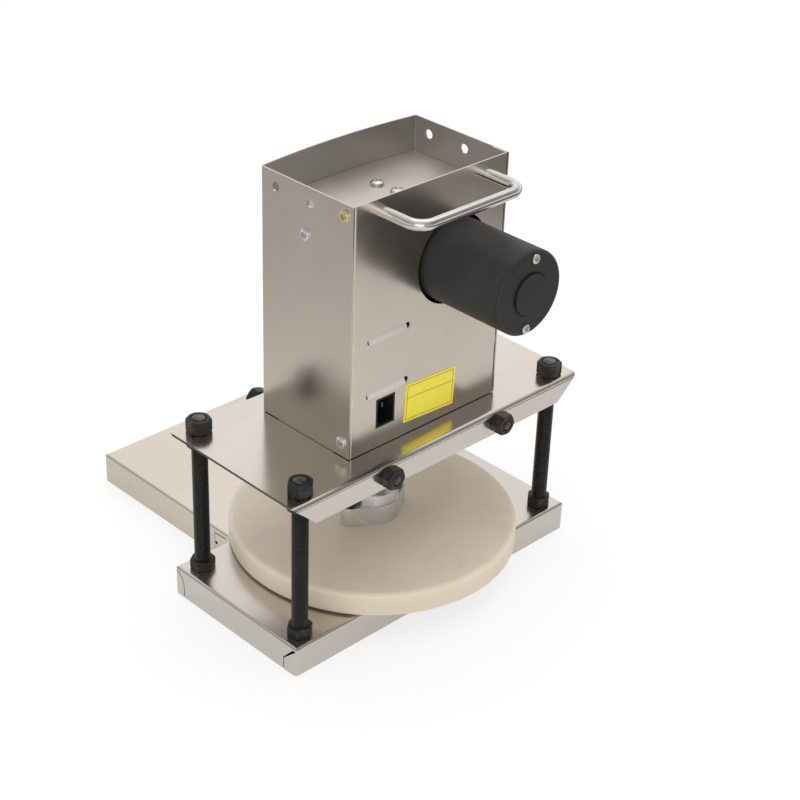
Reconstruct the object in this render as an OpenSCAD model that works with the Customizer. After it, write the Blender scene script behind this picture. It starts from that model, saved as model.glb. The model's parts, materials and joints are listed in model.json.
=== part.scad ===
// Electric crepe and dough press: a motor-driven round press plate on a four-column stand.
// Origin: on the bench, midway between the four columns. +X right, -Y the user's side, +Z up.

/* [Base and table] */
// Width of the base frame, left to right
base_w = 283; // [277:1:330]
// Depth of the base frame, front to back
base_d = 136; // [133:1:180]
// Height of the base frame above the bench
base_h = 23.5; // [22:0.5:40]
// Thickness of the folded stainless sheet of base, table and housing
sheet_t = 1.2; // [0.8:0.1:1.6]
// Outside radius of the folds
fold_r = 2.5; // [2:0.1:4]
// Width of the hems turned in under the base and the table
hem_w = 12; // [8:1:16]
// Width of the front table
table_w = 178; // [150:1:200]
// Distance from the columns' centre to the table's front edge
table_reach = 228.5; // [180:0.5:300]
// How far the table's sheet runs on behind the columns' centre, under the press plate
bed_back = 50; // [20:1:60]

/* [Columns and nuts] */
// Thread diameter of the columns
column_d = 12; // [10:0.5:14]
// Distance of the columns' axes from the base's left and right edges
column_in_x = 15.5; // [13:0.5:18]
// Distance of the columns' axes from the base's front and rear edges
column_in_y = 13.5; // [13:0.5:16]
// Free height between the base and the head plate
head_gap = 116; // [105:1:140]
// Width across flats of the column nuts
nut_af = 16.5; // [16:0.5:20]
// Height of the column nuts
nut_h = 10.5; // [8:0.5:12]
// Height of the low nuts that stand on the base
foot_nut_h = 8; // [6:0.5:10]

/* [Head plate] */
// How far the head plate reaches beyond the columns' axes, left and right
head_over_x = 17; // [14:0.5:40]
// How far the head plate reaches beyond the columns' axes, front and rear
head_over_y = 13.5; // [12.5:0.5:20]
// Thickness of the head plate
head_t = 2; // [1.5:0.1:3]
// Outside radius of the head plate's folds
head_bend = 4; // [2.5:0.5:5]
// Height of the head plate's front and rear flanges
flange_h = 18.6; // [17.6:0.1:30]
// How far the slanted ends draw in the flanges' lower corners
flange_slant = 20; // [8:1:26]
// Distance of each tie rod's axis from the inner face of the housing's side wall
tie_in = 16.3; // [15.3:0.5:20.3]
// Thread diameter of the tie rods
tie_d = 9; // [8:0.5:12]
// Width across flats of the tie rods' nuts
tie_nut_af = 15; // [14:0.5:18]
// Height of the tie rods' nuts
tie_nut_h = 9; // [7:0.5:11]
// Height of the tie rods' axis below the head plate's top
tie_drop = 8.5; // [8.4:0.1:10]

/* [Press plate and ram] */
// Diameter of the press plate
disc_d = 220; // [190:1:240]
// Thickness of the press plate
disc_t = 18; // [14:0.5:22]
// Rounding of the press plate's upper edge
disc_round = 4; // [2:0.5:6]
// Gap between the table's bed and the lowered press plate
press_gap = 0.5; // [0.2:0.1:2]
// Travel of the press plate
stroke = 45; // [30:1:48]
// Diameter of the ram
ram_d = 22; // [20:0.5:23]
// Distance of the ram's axis in front of the columns' centre
ram_front = 4; // [2:0.5:5]
// Distance between the two screws of the plate flange
lobe_pitch = 50; // [46:1:56]
// Radius of the plate flange's two ends
lobe_r = 6.5; // [6:0.5:8]
// Diameter of the plate flange's round middle
boss_d = 40; // [38:1:44]
// Thickness of the plate flange
boss_t = 15.5; // [12:0.5:18]
// Diameter of the step above the plate flange
hub_d = 38; // [34:0.5:38]
// Height of the step above the plate flange
hub_h = 9; // [7:0.5:11]

/* [Housing] */
// Gap under the housing's walls, which stand on turned-in feet
wall_gap = 0.6; // [0.3:0.1:1]
// Width of the housing
housing_w = 147; // [144:1:156]
// Depth of the housing at its side walls
housing_d = 92; // [91:1:100]
// Height of the housing
housing_h = 192; // [185:1:215]
// How far the front wall bows out
front_bow = 4.5; // [2:0.5:8]
// Depth of the open tray above the cover plate
cover_drop = 27; // [15:0.5:29]
// Diameter of the holes in the rim
rim_hole_d = 7; // [4:0.5:9]
// Diameter of the carrying handle's rod
handle_d = 8; // [6:0.5:10]
// Width of the carrying handle, between the axes of its legs
handle_span = 98; // [80:1:110]
// Reach of the carrying handle behind the housing
handle_reach = 37; // [30:1:50]
// Length of a vent slot
vent_w = 41; // [25:1:44]
// Height of a vent slot
vent_h = 6; // [4:0.5:6]

/* [Motor and gears] */
// Diameter of the motor
motor_d = 62; // [56:0.5:64]
// Length of the motor behind the housing
motor_len = 72.5; // [60:0.5:100]
// Height of the motor's axis above the head plate
motor_rise = 126.5; // [124:0.5:132]
// Tooth module of the gears and the rack
gear_m = 1.5; // [1.4:0.05:1.55]
// Teeth on the motor's gear
drive_teeth = 18; // [17:1:20]
// Teeth on the large gear
driven_teeth = 38; // [35:1:40]
// Teeth on the rack's pinion
pinion_teeth = 18; // [17:1:20]
// Diameter of the pinion shaft
shaft_d = 10; // [8:0.5:12]
// Thickness of the gear frame's plates
frame_t = 4; // [3:0.5:5]

/* [Controls and sockets] */
// Width of the power inlet's opening
inlet_w = 18.3; // [16:0.1:22]
// Height of the power inlet's opening
inlet_h = 23.6; // [20:0.1:24.4]
// Width of the blank sticker
sticker_w = 50; // [30:1:60]
// Height of the blank sticker
sticker_h = 30.5; // [20:0.5:32]
// Diameter of the start button's ring
button_ring_d = 22; // [20:0.5:26]
// Diameter of the start button
button_d = 15; // [12:0.5:16]
// Travel of the start button
button_travel = 2.5; // [1.5:0.1:3]
// Width of the power switch's frame
rocker_w = 15; // [13:0.5:18]
// Height of the power switch's frame
rocker_h = 21; // [20:0.5:26]

/* [Fits] */
// Radial clearance of a screw thread in its nut
thread_play = 0.05; // [0.02:0.01:0.1]
// Radial clearance of a turning or sliding shaft
run_play = 0.05; // [0.02:0.01:0.1]
// Radial clearance of a rod or screw in a plain hole
hole_play = 0.3; // [0.2:0.05:0.6]
// Backlash cut from every tooth
backlash = 0.15; // [0.1:0.01:0.25]

/* [Hidden] */
$fn = 64;

// Large circles need more segments than small ones to stay round
bow_fn = 720;
big_fn = 180;
steel = "LightSteelBlue";
inner_r = fold_r - sheet_t;
// Small overlap or overshoot used only to cut cleanly through a wall
cut = 1;
lap = 0.05;

// Columns and head plate follow the base
column_span_x = base_w - 2 * column_in_x;
column_span_y = base_d - 2 * column_in_y;
head_w = column_span_x + 2 * head_over_x;
head_d = column_span_y + 2 * head_over_y;

// Heights, from the bench up
floor_under = base_h - sheet_t;
table_top = base_h + sheet_t;
head_under = base_h + head_gap;
head_top = head_under + head_t;
tie_z = head_top - tie_drop;
column_low = floor_under - nut_h - 4;
column_high = head_top + nut_h + 0.5;
disc_low = table_top + press_gap;
disc_top = disc_low + disc_t;
boss_top = disc_top + boss_t;
hub_top = boss_top + hub_h;
housing_top = head_top + housing_h;
cover_top = housing_top - cover_drop;
cover_under = cover_top - sheet_t;
wall_low = head_top + wall_gap;
motor_z = head_top + motor_rise;
ram_y = -ram_front;

// Housing plan: side walls end at the front and rear lines, the front wall bows out between them
rear_y = housing_d / 2;
front_y = -housing_d / 2;
bow_r = (pow(housing_w / 2, 2) + pow(front_bow, 2)) / (2 * front_bow);
bow_y = front_y - front_bow + bow_r;
wall_in_x = housing_w / 2 - sheet_t;
base_tab_w = 12;
rear_in_y = rear_y - sheet_t;
bow_front_y = front_y - front_bow;
tie_x = wall_in_x - tie_in;

// Gear train: the motor's gear drives the large gear below it, whose shaft carries the rack's pinion
drive_r = gear_m * drive_teeth / 2;
driven_r = gear_m * driven_teeth / 2;
pinion_r = gear_m * pinion_teeth / 2;
rack_in = gear_m + 1;
gear_x = -(ram_d / 2 - rack_in + pinion_r);
pinion_z = motor_z - drive_r - driven_r;
rack_x = gear_x + pinion_r;
rack_tip_x = rack_x - gear_m;
rack_root_x = rack_x + 1.25 * gear_m;
rack_pitch = PI * gear_m;
rack_up_teeth = 2;
rack_down_teeth = ceil(stroke / rack_pitch) + 2;
rack_low = pinion_z - (rack_down_teeth + 0.5) * rack_pitch;
rack_high = pinion_z + (rack_up_teeth + 0.5) * rack_pitch;
ram_low = disc_top + 4;
ram_high = rack_high + 4;
flag_w = 8;
flag_t = 2;
flag_reach = 4;

// Places along the gear shafts, front to back
pinion_w = 16;
pinion_y0 = ram_y - pinion_w / 2;
gear_w = 8;
gear_y0 = ram_y + ram_d / 2 + 2;
gear_y1 = gear_y0 + gear_w;
rear_plate_y = gear_y1 + 3;
front_plate_gap = 11;
front_plate_y = ram_y - ram_d / 2 - front_plate_gap;
gearbox_d = motor_d - 6;
gearbox_y1 = rear_y - 3;
gearbox_y0 = rear_plate_y + frame_t;
bearing_wall = 4.5;
bearing_d = shaft_d + 2 * bearing_wall;
bearing_proud = 0.5;
bearing_w = frame_t + 2 * bearing_proud;
output_d = 8;
output_depth = 10;
gearbox_screw_in = 6;
gearbox_hole_l = 8;

// Gear frame plates
frame_side_gap = 0.3;
frame_right = 23;
frame_x0 = base_tab_w + frame_side_gap - wall_in_x;
frame_x1 = ram_d / 2 + frame_right;
frame_z1 = cover_under - 1;
foot_l = 14;
post_d = 8;
post_in = 6;
post_rise = 18;
post_hole_l = 7;
lug_hole_l = 5;
foot_screw_in = [20, 14];
frame_screw_x = [frame_x0 + foot_screw_in[0], frame_x1 - foot_screw_in[1]];
foot_screw_y = [front_plate_y - frame_t - foot_l / 2, rear_plate_y + frame_t + foot_l / 2];
lug_w = 13;
lug_h = 6;
lug_x = -8.5;
lug_z = cover_under - 4;
pad_screw_x = ram_d / 2 + 7;
pad_screw_z = 5;
pad_wrap = 2;
pad_w = 15;
pad_h = 20;

// Guide bush on the head plate
bush_wall = 2.5;
bush_r = ram_d / 2 + bush_wall;
bush_flange_r = bush_r + 7.5;
bush_flange_t = 6;
bush_drop = 12;
bush_low = head_under - bush_drop;
bush_rise = 24;
bush_high = min(head_top + bush_rise, rack_low - 1.5);
bush_screw_r = bush_r + 3.8;

// Screws
small_d = 3;
small_head_d = 5.6;
small_head_h = 1.8;
middle_d = small_d + 1;
middle_head_d = 7;
middle_head_h = 2.2;
screw_d = 5;
screw_head_d = 9;
screw_head_h = 2.6;
cover_head_d = 10.2;
cover_head_h = 3.2;
set_screw_d = 5;
flange_screw_d = 6;
flange_head_d = 10;
flange_head_h = 6;
side_screw_low = head_top + 11.5;
side_screw_high = housing_top - 8.5;
side_screw_y = rear_y - 8;
cover_side_z = cover_under - 7;
cover_side_y = -0.5;
cover_flange_h = 14;
cover_screw_xy = [[-8, -17], [-9, 2.5]];
panel_flange = 14;
// Edge that is left straight at the head plate's corners, above the flanges' slant
corner_edge = 0.6;
// Outside radius of the rear panel's folds, which leaves a groove beside the wrap's sheet edge
panel_bend = 1.6;
rim_hole_z = housing_top - 10.5;
rim_hole_y = [-31, 4.5];
base_tab_d = 60;
base_screw_x = wall_in_x - 4.5;
base_screw_y = 20;

// Rear wall fittings
handle_z = housing_top - 8.5;
handle_bend = 12;
handle_thread = 9;
handle_nut_h = 5;
handle_nut_af = 10;
motor_gap = 2.7;
motor_cap_t = 4;
motor_edge_r = 3;
motor_hub_r = 15;
motor_hub_h = 1.4;
motor_screw_r = 25.4;
motor_screw_tilt = 96;
vent_x = 37.9;
vent_rise = [45.2, 88];
vent_z = [for (rise = vent_rise) head_top + rise];
vent_depth = 2.6;
vent_slit = 0.5;
inlet_x = 39.3;
inlet_rise = 27.7;
inlet_z = head_top + inlet_rise;
inlet_depth = 17;
inlet_wall = 1.6;
inlet_lip = 1.5;
inlet_pin = [1.6, 10, 4];
inlet_back_t = 3;
inlet_floor_y = rear_y - inlet_depth + inlet_back_t;
// Two pins beside the inlet's left edge and one beside its right, as a turned inlet has them
inlet_pin_places = [[4, 5.5], [4, -5.5], [-4, 0]];
sticker_x = -4.7;
sticker_rise = 24.1;
sticker_z = head_top + sticker_rise;
sticker_t = 0.3;
sticker_tilt = 3;

// Front controls
button_rise = 148;
button_z = head_top + button_rise;
button_barrel_d = 17.5;
button_stand = 1.6;
button_proud = button_stand + 1.2 + button_travel;
button_seat = 3.5;
button_depth = 15;
button_nut_t = 3;
rocker_rise = 44;
rocker_z = head_top + rocker_rise;
rocker_rim = 2;
rocker_depth = 14;
rocker_tilt = 10;
rocker_pivot_in = 2.5;
rocker_pin_d = 2.4;
rocker_plate_t = 1.8;
rocker_back_t = 2;
rocker_wall = 0.8;

// Electronics on the right wall
board_t = 1.6;
board_d = 60;
board_h = 104;
board_z0 = head_top + 14;
board_gap = 9;
board_x = wall_in_x - board_gap - board_t;
board_y0 = front_y + 9;
board_post_d = 6;
board_post_in = 5;
// Relay, transformer and terminals: place along the board and up it, height off it, width, length
board_parts = [[10, 14, 17, 26, 30], [12, 56, 12, 20, 16], [12, 80, 9, 34, 10]];
// Capacitor: place along the board and up it, diameter, height
board_can = [46, 62, 12, 16];
switch_size = [10, 4, 20];
switch_nib = [4, 4];
switch_lever = 0.3;

// Bolts that hold the table's rear wall to the base's front wall
bolt_x = [-62, 0, 62];
bolt_z = 12;
bolt_d = 5;
bolt_head_d = 9;
bolt_head_h = 3;
column_sign = [[-1, -1], [-1, 1], [1, -1], [1, 1]];
head_turns = [20, 13, 18, 42];
foot_turns = [5, 38, 30, 38];
tie_turns = [55, 45];
bolt_nut_h = 4;
bolt_nut_af = 8;
block_side = 26;
block_in = 16;
tab_hole_y = 16.5;
tab_hole_z = 11.8;
tab_hole_d = 2.8;

// Corner seams: one wall's end turns round the corner and lies in a notch of the next wall
seam_gap = 0.7;
seam_rear_wrap = 13.4;
seam_rear_z = 10;
seam_front_wrap = 10.5;
seam_front_z = 8;
seam_table_wrap = 18.5;
seam_table_z = 20.3;

// Bore of a screw or shaft hole for the given diameter
function bore(d) = d + 2 * thread_play;

// 2D outline of a sheet folded down at both sides
module fold_2d(w, h, r) {
    translate([-w / 2, 0]) square([w, h - r]);
    translate([-w / 2 + r, 0]) square([w - 2 * r, h]);
    for (side = [-1, 1]) translate([side * (w / 2 - r), h - r]) circle(r);
}

// Extrudes a 2D shape drawn in X and Z along Y, from y0 for the given length
module along_y(y0, length) {
    translate([0, y0 + length, 0]) rotate([90, 0, 0]) linear_extrude(length) children();
}

// Extrudes a 2D shape drawn in Y and Z along X, from x0 for the given length
module along_x(x0, length) {
    translate([x0, 0, 0]) rotate([90, 0, 90]) linear_extrude(length) children();
}

// 2D plan of a tray whose upright corners are rounded
module tray_plan_2d(w, d, r) {
    square([w - 2 * r, d], center = true);
    square([w, d - 2 * r], center = true);
    for (x = [-1, 1], y = [-1, 1]) translate([x * (w / 2 - r), y * (d / 2 - r)]) circle(r);
}

// Solid block with its corners and top edges rounded as a folded tray has them
module folded_block(w, d, h, r) {
    intersection() {
        along_y(-d / 2, d) fold_2d(w, h, r);
        along_x(-w / 2, w) fold_2d(d, h, r);
        linear_extrude(h) tray_plan_2d(w, d, r);
    }
}

// Hexagon nut on a vertical axis, its corners turned down to a cone at both faces
module nut(af, h, bore_d, turn = 10) {
    corner_r = af / cos(30) / 2;
    low_r = af / 2 - 0.3;
    high_r = corner_r + 0.3;
    slope_h = (high_r - low_r) * tan(30);
    difference() {
        intersection() {
            rotate(turn) cylinder(r = corner_r, h = h, $fn = 6);
            union() {
                cylinder(r1 = low_r, r2 = high_r, h = slope_h);
                translate([0, 0, slope_h - lap]) cylinder(r = high_r, h = h - 2 * (slope_h - lap));
                translate([0, 0, h - slope_h]) cylinder(r1 = high_r, r2 = low_r, h = slope_h);
            }
        }
        translate([0, 0, -cut]) cylinder(d = bore_d, h = h + 2 * cut);
    }
}

// Threaded rod on a vertical axis with chamfered ends
module rod(d, z0, z1) {
    chamfer = 1;
    translate([0, 0, z0]) cylinder(d1 = d - 2 * chamfer, d2 = d, h = chamfer);
    translate([0, 0, z0 + chamfer]) cylinder(d = d, h = z1 - z0 - 2 * chamfer);
    translate([0, 0, z1 - chamfer]) cylinder(d1 = d, d2 = d - 2 * chamfer, h = chamfer);
}

// Pan-head screw whose head stands on z = 0 and whose shank goes down
module pan_screw(d, head_d, head_h, length) {
    slot = head_d * 0.14;
    difference() {
        union() {
            cylinder(d = head_d, h = head_h * 0.45);
            translate([0, 0, head_h * 0.45]) cylinder(d1 = head_d, d2 = head_d * 0.62, h = head_h * 0.55);
            translate([0, 0, -length]) cylinder(d = d, h = length);
        }
        for (turn = [0, 90]) rotate(turn)
            translate([-head_d * 0.25, -slot / 2, head_h * 0.45]) cube([head_d * 0.5, slot, head_h]);
    }
}

// Socket-head screw whose head stands on z = 0 and whose shank goes down
module socket_screw(d, head_d, head_h, length) {
    difference() {
        cylinder(d = head_d, h = head_h);
        translate([0, 0, head_h / 2]) cylinder(d = head_d * 0.55, h = head_h, $fn = 6);
    }
    translate([0, 0, -length]) cylinder(d = d, h = length);
}

// Places its children at the four columns
function column_at(sign, z) = [sign[0] * column_span_x / 2, sign[1] * column_span_y / 2, z];

module at_columns() {
    for (sign = column_sign) translate(column_at(sign, 0)) children();
}

// Involute of a circle, in degrees, at a pressure angle in degrees
function involute(a) = tan(a) * 180 / PI - a;

// Half the angle that a tooth spans at radius r, for a gear with the given teeth
function tooth_half(teeth, r) =
    let (pitch_r = gear_m * teeth / 2, base_r = pitch_r * cos(20))
    90 / teeth - backlash / (2 * pitch_r) * 180 / PI + involute(20)
        - (r > base_r ? involute(acos(base_r / r)) : 0);

// Outline of a spur gear with a tooth centred on +X
function gear_points(teeth) =
    let (
        pitch_r = gear_m * teeth / 2, tip_r = pitch_r + gear_m, root_r = pitch_r - 1.25 * gear_m,
        base_r = pitch_r * cos(20), start_r = max(root_r, base_r), steps = 4,
        radii = concat([root_r], [for (i = [0:steps]) start_r + 0.01 + (tip_r - start_r - 0.01) * i / steps])
    )
    [for (t = [0:teeth - 1]) each concat(
        [for (r = radii) let (a = 360 * t / teeth - tooth_half(teeth, r)) r * [cos(a), sin(a)]],
        [for (i = [len(radii) - 1:-1:0])
            let (r = radii[i], a = 360 * t / teeth + tooth_half(teeth, r)) r * [cos(a), sin(a)]]
    )];

module gear_2d(teeth, turn, bore_d) {
    difference() {
        rotate(turn) polygon(gear_points(teeth));
        circle(d = bore_d);
    }
}

// One tooth space of the rack, drawn in X and Z about the pitch line
module rack_space_2d() {
    half = (rack_pitch / 2 + backlash) / 2;
    tip = half + gear_m * tan(20);
    root = half - 1.25 * gear_m * tan(20);
    polygon([
        [rack_root_x, -root], [rack_tip_x, -tip], [rack_tip_x - ram_d, -tip],
        [rack_tip_x - ram_d, tip], [rack_tip_x, tip], [rack_root_x, root]
    ]);
}

module base_frame() {
    color(steel) difference() {
        folded_block(base_w, base_d, base_h, fold_r);
        translate([0, 0, sheet_t])
            folded_block(base_w - 2 * sheet_t, base_d - 2 * sheet_t, floor_under - sheet_t, inner_r);
        foot_opening(base_w, base_d);
        at_columns() translate([0, 0, floor_under - cut])
            cylinder(r = column_d / 2 + hole_play, h = sheet_t + 2 * cut);
        for (x = [-1, 1]) along_x(x * base_w / 2 - 1.5 * sheet_t, 3 * sheet_t) {
            rear_seam_2d();
            front_seam_2d();
        }
        for (x = bolt_x) translate([x, -base_d / 2, bolt_z]) rotate([90, 0, 0])
            cylinder(d = bore(bolt_d), h = 4 * sheet_t, center = true);
    }
}

// Opening in a tray's foot, between the hems that its walls turn in to, centred on the tray
module foot_opening(w, d) {
    translate([-w / 2 + hem_w, -d / 2 + hem_w, -cut])
        cube([w - 2 * hem_w, d - 2 * hem_w, sheet_t + 2 * cut]);
}

// Slits of the base's corners, drawn in Y and Z
module rear_seam_2d() {
    y = base_d / 2;
    polygon([
        [y - seam_rear_wrap, -cut], [y - seam_rear_wrap + seam_gap, -cut],
        [y - seam_rear_wrap + seam_gap, seam_rear_z], [y - fold_r, base_h - fold_r - 1.4],
        [y - fold_r / 2, base_h - fold_r - 1], [y - fold_r / 2, base_h - fold_r + 0.6],
        [y - fold_r - 1.2, base_h - fold_r + 0.2], [y - seam_rear_wrap, seam_rear_z + 0.5]
    ]);
}

module front_seam_2d() {
    y = -base_d / 2;
    w = seam_front_wrap;
    top = base_h - fold_r;
    polygon([
        [y + w, -cut], [y + w, seam_front_z], [y + w - 0.7, top - 7], [y + w - 2.7, top - 3.5],
        [y + w - 6, top - 0.9], [y + fold_r / 2, top + 0.3], [y + fold_r / 2, top - 0.4],
        [y + w - 6.4, top - 1.6], [y + w - 3.3, top - 4.1], [y + w - 1.4, top - 7.2],
        [y + w - seam_gap, seam_front_z], [y + w - seam_gap, -cut]
    ]);
}

module front_table() {
    length = table_reach - base_d / 2;
    back = -base_d / 2;
    middle = back - length / 2;
    hollow_w = table_w - 2 * sheet_t;
    color(steel) difference() {
        union() {
            intersection() {
                along_y(-table_reach, length) fold_2d(table_w, table_top, fold_r);
                along_x(-table_w / 2, table_w) table_side_2d(0);
                translate([0, middle, 0]) linear_extrude(table_top)
                    tray_plan_2d(table_w, length, fold_r);
            }
            translate([-table_w / 2, back - fold_r, base_h])
                cube([table_w, fold_r - back + bed_back, sheet_t]);
        }
        intersection() {
            along_y(-table_reach, length)
                translate([0, sheet_t]) fold_2d(hollow_w, base_h - sheet_t, inner_r);
            along_x(-table_w / 2, table_w) table_side_2d(sheet_t);
            translate([0, middle, 0]) linear_extrude(table_top)
                tray_plan_2d(hollow_w, length - 2 * sheet_t, inner_r);
        }
        translate([0, middle, 0]) foot_opening(table_w, length);
        for (x = [-1, 1]) along_x(x * table_w / 2 - 1.5 * sheet_t, 3 * sheet_t) table_seam_2d();
        translate([0, back - tab_hole_y, tab_hole_z]) rotate([0, 90, 0])
            cylinder(d = tab_hole_d, h = table_w + 2 * cut, center = true);
        for (x = bolt_x) translate([x, back, bolt_z]) rotate([90, 0, 0])
            cylinder(d = bore(bolt_d), h = 4 * sheet_t, center = true);
    }
}

// Slit of the table's rear corners, drawn in Y and Z
module table_seam_2d() {
    y = -base_d / 2 - seam_table_wrap;
    polygon([
        [y, -cut], [y + seam_gap / 2, -cut],
        [y + seam_gap / 2, seam_table_z - 2], [y + 1, seam_table_z - 0.2],
        [y + 14, seam_table_z + 0.3], [y + 14, seam_table_z + 1.1], [y + 1, seam_table_z + 0.6],
        [y, seam_table_z]
    ]);
}

// Side view of the table's folded block, thinned by the sheet where inset is above 0
module table_side_2d(inset) {
    r = fold_r - inset;
    front = -table_reach + inset;
    top = table_top - inset;
    back = -base_d / 2 + inset;
    low = -2 * inset;
    translate([front, low]) square([back - front, top - r - low]);
    translate([front + r, low]) square([back - front - r, top - low]);
    translate([front + r, top - r]) circle(r);
}

module table_bolts() {
    length = 2 * sheet_t + bolt_nut_h + 1;
    color("silver") for (x = bolt_x) translate([x, -base_d / 2 - sheet_t, bolt_z]) rotate([90, 0, 0])
        pan_screw(bolt_d, bolt_head_d, bolt_head_h, length);
}

module table_nuts() {
    color("silver") for (x = bolt_x) translate([x, -base_d / 2 + sheet_t, bolt_z]) rotate([-90, 0, 0])
        nut(bolt_nut_af, bolt_nut_h, bore(bolt_d), 0);
}

// Hard block under the bed that passes the pressing force to the bench
module bed_block() {
    w = column_span_x - 2 * block_side;
    d = base_d - 2 * block_in;
    color("DimGray") translate([-w / 2, -d / 2, 0]) cube([w, d, floor_under]);
}

module column(x, y) {
    color("black") translate([x * column_span_x / 2, y * column_span_y / 2, 0])
        rod(column_d, column_low, column_high);
}

module column_front_left() { column(-1, -1); }
module column_front_right() { column(1, -1); }
module column_rear_left() { column(-1, 1); }
module column_rear_right() { column(1, 1); }

module column_nuts(z, h, turns) {
    color("black") for (i = [0:3]) translate(column_at(column_sign[i], z))
        nut(nut_af, h, column_d + 2 * thread_play, turns[i]);
}

module foot_nuts() { column_nuts(base_h, foot_nut_h, foot_turns); }
module foot_lock_nuts() { column_nuts(floor_under - nut_h, nut_h, head_turns); }
module head_support_nuts() { column_nuts(head_under - nut_h, nut_h, foot_turns); }
module head_top_nuts() { column_nuts(head_top, nut_h, head_turns); }

module head_plate() {
    color(steel) difference() {
        along_x(-head_w / 2, head_w) translate([0, head_top - flange_h]) difference() {
            fold_2d(head_d, flange_h, head_bend);
            translate([0, -cut])
                fold_2d(head_d - 2 * head_t, flange_h - head_t + cut, head_bend - head_t);
        }
        for (x = [0, 1], y = [0, 1]) mirror([x, 0, 0]) mirror([0, y, 0])
            along_y(head_d / 2 - head_bend, head_bend + cut) polygon([
                [head_w / 2, head_top - corner_edge], [head_w / 2 + cut, head_top - corner_edge],
                [head_w / 2 + cut, head_top - flange_h - cut],
                [head_w / 2 - flange_slant, head_top - flange_h - cut],
                [head_w / 2 - flange_slant, head_top - flange_h]
            ]);
        at_columns() translate([0, 0, head_under - cut])
            cylinder(r = column_d / 2 + hole_play, h = head_t + 2 * cut);
        for (x = [-1, 1]) translate([x * tie_x, 0, tie_z]) rotate([90, 0, 0])
            cylinder(r = tie_d / 2 + hole_play, h = head_d + 2 * cut, center = true);
        translate([0, ram_y, head_under - cut]) cylinder(r = bush_r + hole_play, h = head_t + 2 * cut);
        for (turn = [45:90:315]) translate([0, ram_y, head_under - cut]) rotate(turn)
            translate([bush_screw_r, 0, 0]) cylinder(d = bore(small_d), h = head_t + 2 * cut);
        for (x = [-1, 1], y = [-1, 1]) translate([x * base_screw_x, y * base_screw_y, head_under - cut])
            cylinder(d = bore(screw_d), h = head_t + 2 * cut);
        for (x = frame_screw_x, y = foot_screw_y)
            translate([x, y, head_under - cut]) cylinder(d = bore(screw_d), h = head_t + 2 * cut);
    }
}

module tie_rod(x) {
    reach = head_d / 2 + tie_nut_h + 0.5;
    color("black") translate([x * tie_x, 0, tie_z]) rotate([90, 0, 0]) rod(tie_d, -reach, reach);
}

module tie_rod_left() { tie_rod(-1); }
module tie_rod_right() { tie_rod(1); }

module tie_rod_nuts() {
    color("black") for (x = [-1, 1], y = [0, 1]) mirror([0, y, 0])
        translate([x * tie_x, head_d / 2, tie_z]) rotate([-90, 0, 0])
            nut(tie_nut_af, tie_nut_h, tie_d + 2 * thread_play, x < 0 ? tie_turns[0] : tie_turns[1]);
}

// Plan of the housing, drawn in by inset from its outer faces; the rear edge stays open
module housing_2d(inset, back) {
    corner_r = 1.8 - inset;
    side = housing_w / 2 - inset;
    shoulder = bow_y - sqrt(pow(bow_r - inset, 2) - pow(side - max(corner_r, 0), 2));
    front = shoulder + max(corner_r, 0);
    intersection() {
        translate([0, bow_y]) circle(bow_r - inset, $fn = bow_fn);
        translate([-side + max(corner_r, 0), bow_front_y - cut])
            square([2 * (side - max(corner_r, 0)), back - bow_front_y + cut]);
    }
    translate([-side, front]) square([2 * side, back - front]);
    if (corner_r > 0) for (x = [-1, 1]) translate([x * (side - corner_r), front]) circle(corner_r);
}

module housing_wrap() {
    color(steel) {
        difference() {
            translate([0, 0, wall_low]) linear_extrude(housing_top - wall_low) difference() {
                housing_2d(0, rear_y);
                housing_2d(sheet_t, rear_y + cut);
            }
            for (y = rim_hole_y) translate([0, y, rim_hole_z]) rotate([0, 90, 0])
                cylinder(d = rim_hole_d, h = housing_w + 2 * cut, center = true);
            for (z = [side_screw_low, side_screw_high]) side_hole(side_screw_y, z);
            side_hole(cover_side_y, cover_side_z);
            translate([0, front_y - front_bow, button_z]) rotate([90, 0, 0])
                cylinder(d = bore(button_barrel_d), h = 6 * sheet_t, center = true);
            translate([0, front_y - front_bow, rocker_z])
                cube([rocker_w - rocker_rim * 2 + 1, 6 * sheet_t, rocker_h - rocker_rim * 2 + 1],
                    center = true);
        }
        for (x = [0, 1]) mirror([x, 0, 0]) difference() {
            translate([wall_in_x - base_tab_w, -base_tab_d / 2, head_top])
                cube([base_tab_w + sheet_t / 2, base_tab_d, sheet_t + wall_gap]);
            for (y = [-1, 1]) translate([base_screw_x, y * base_screw_y, head_top - cut])
                cylinder(d = bore(screw_d), h = sheet_t + wall_gap + 2 * cut);
        }
    }
}

// Hole for a side screw through both side walls
module side_hole(y, z) {
    translate([0, y, z]) rotate([0, 90, 0])
        cylinder(d = bore(screw_d), h = housing_w + 2 * cut, center = true);
}

module vent_2d(length, height) {
    square([length - height, height], center = true);
    for (x = [-1, 1]) translate([x * (length - height) / 2, 0]) circle(d = height);
}

// Tongue of the panel's own sheet in a vent slot, bent inwards along the slot's lower edge
module vent_tongue() {
    length = vent_w - 0.8 * vent_h;
    along_x(vent_x - length / 2, length) polygon([
        [rear_y, -vent_h / 2 - sheet_t / 4], [rear_y, -vent_h / 2],
        [rear_y - vent_depth, vent_h / 2 - vent_slit], [rear_in_y - vent_depth, vent_h / 2 - vent_slit],
        [rear_in_y, -vent_h / 2 - sheet_t / 4]
    ]);
}

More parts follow.
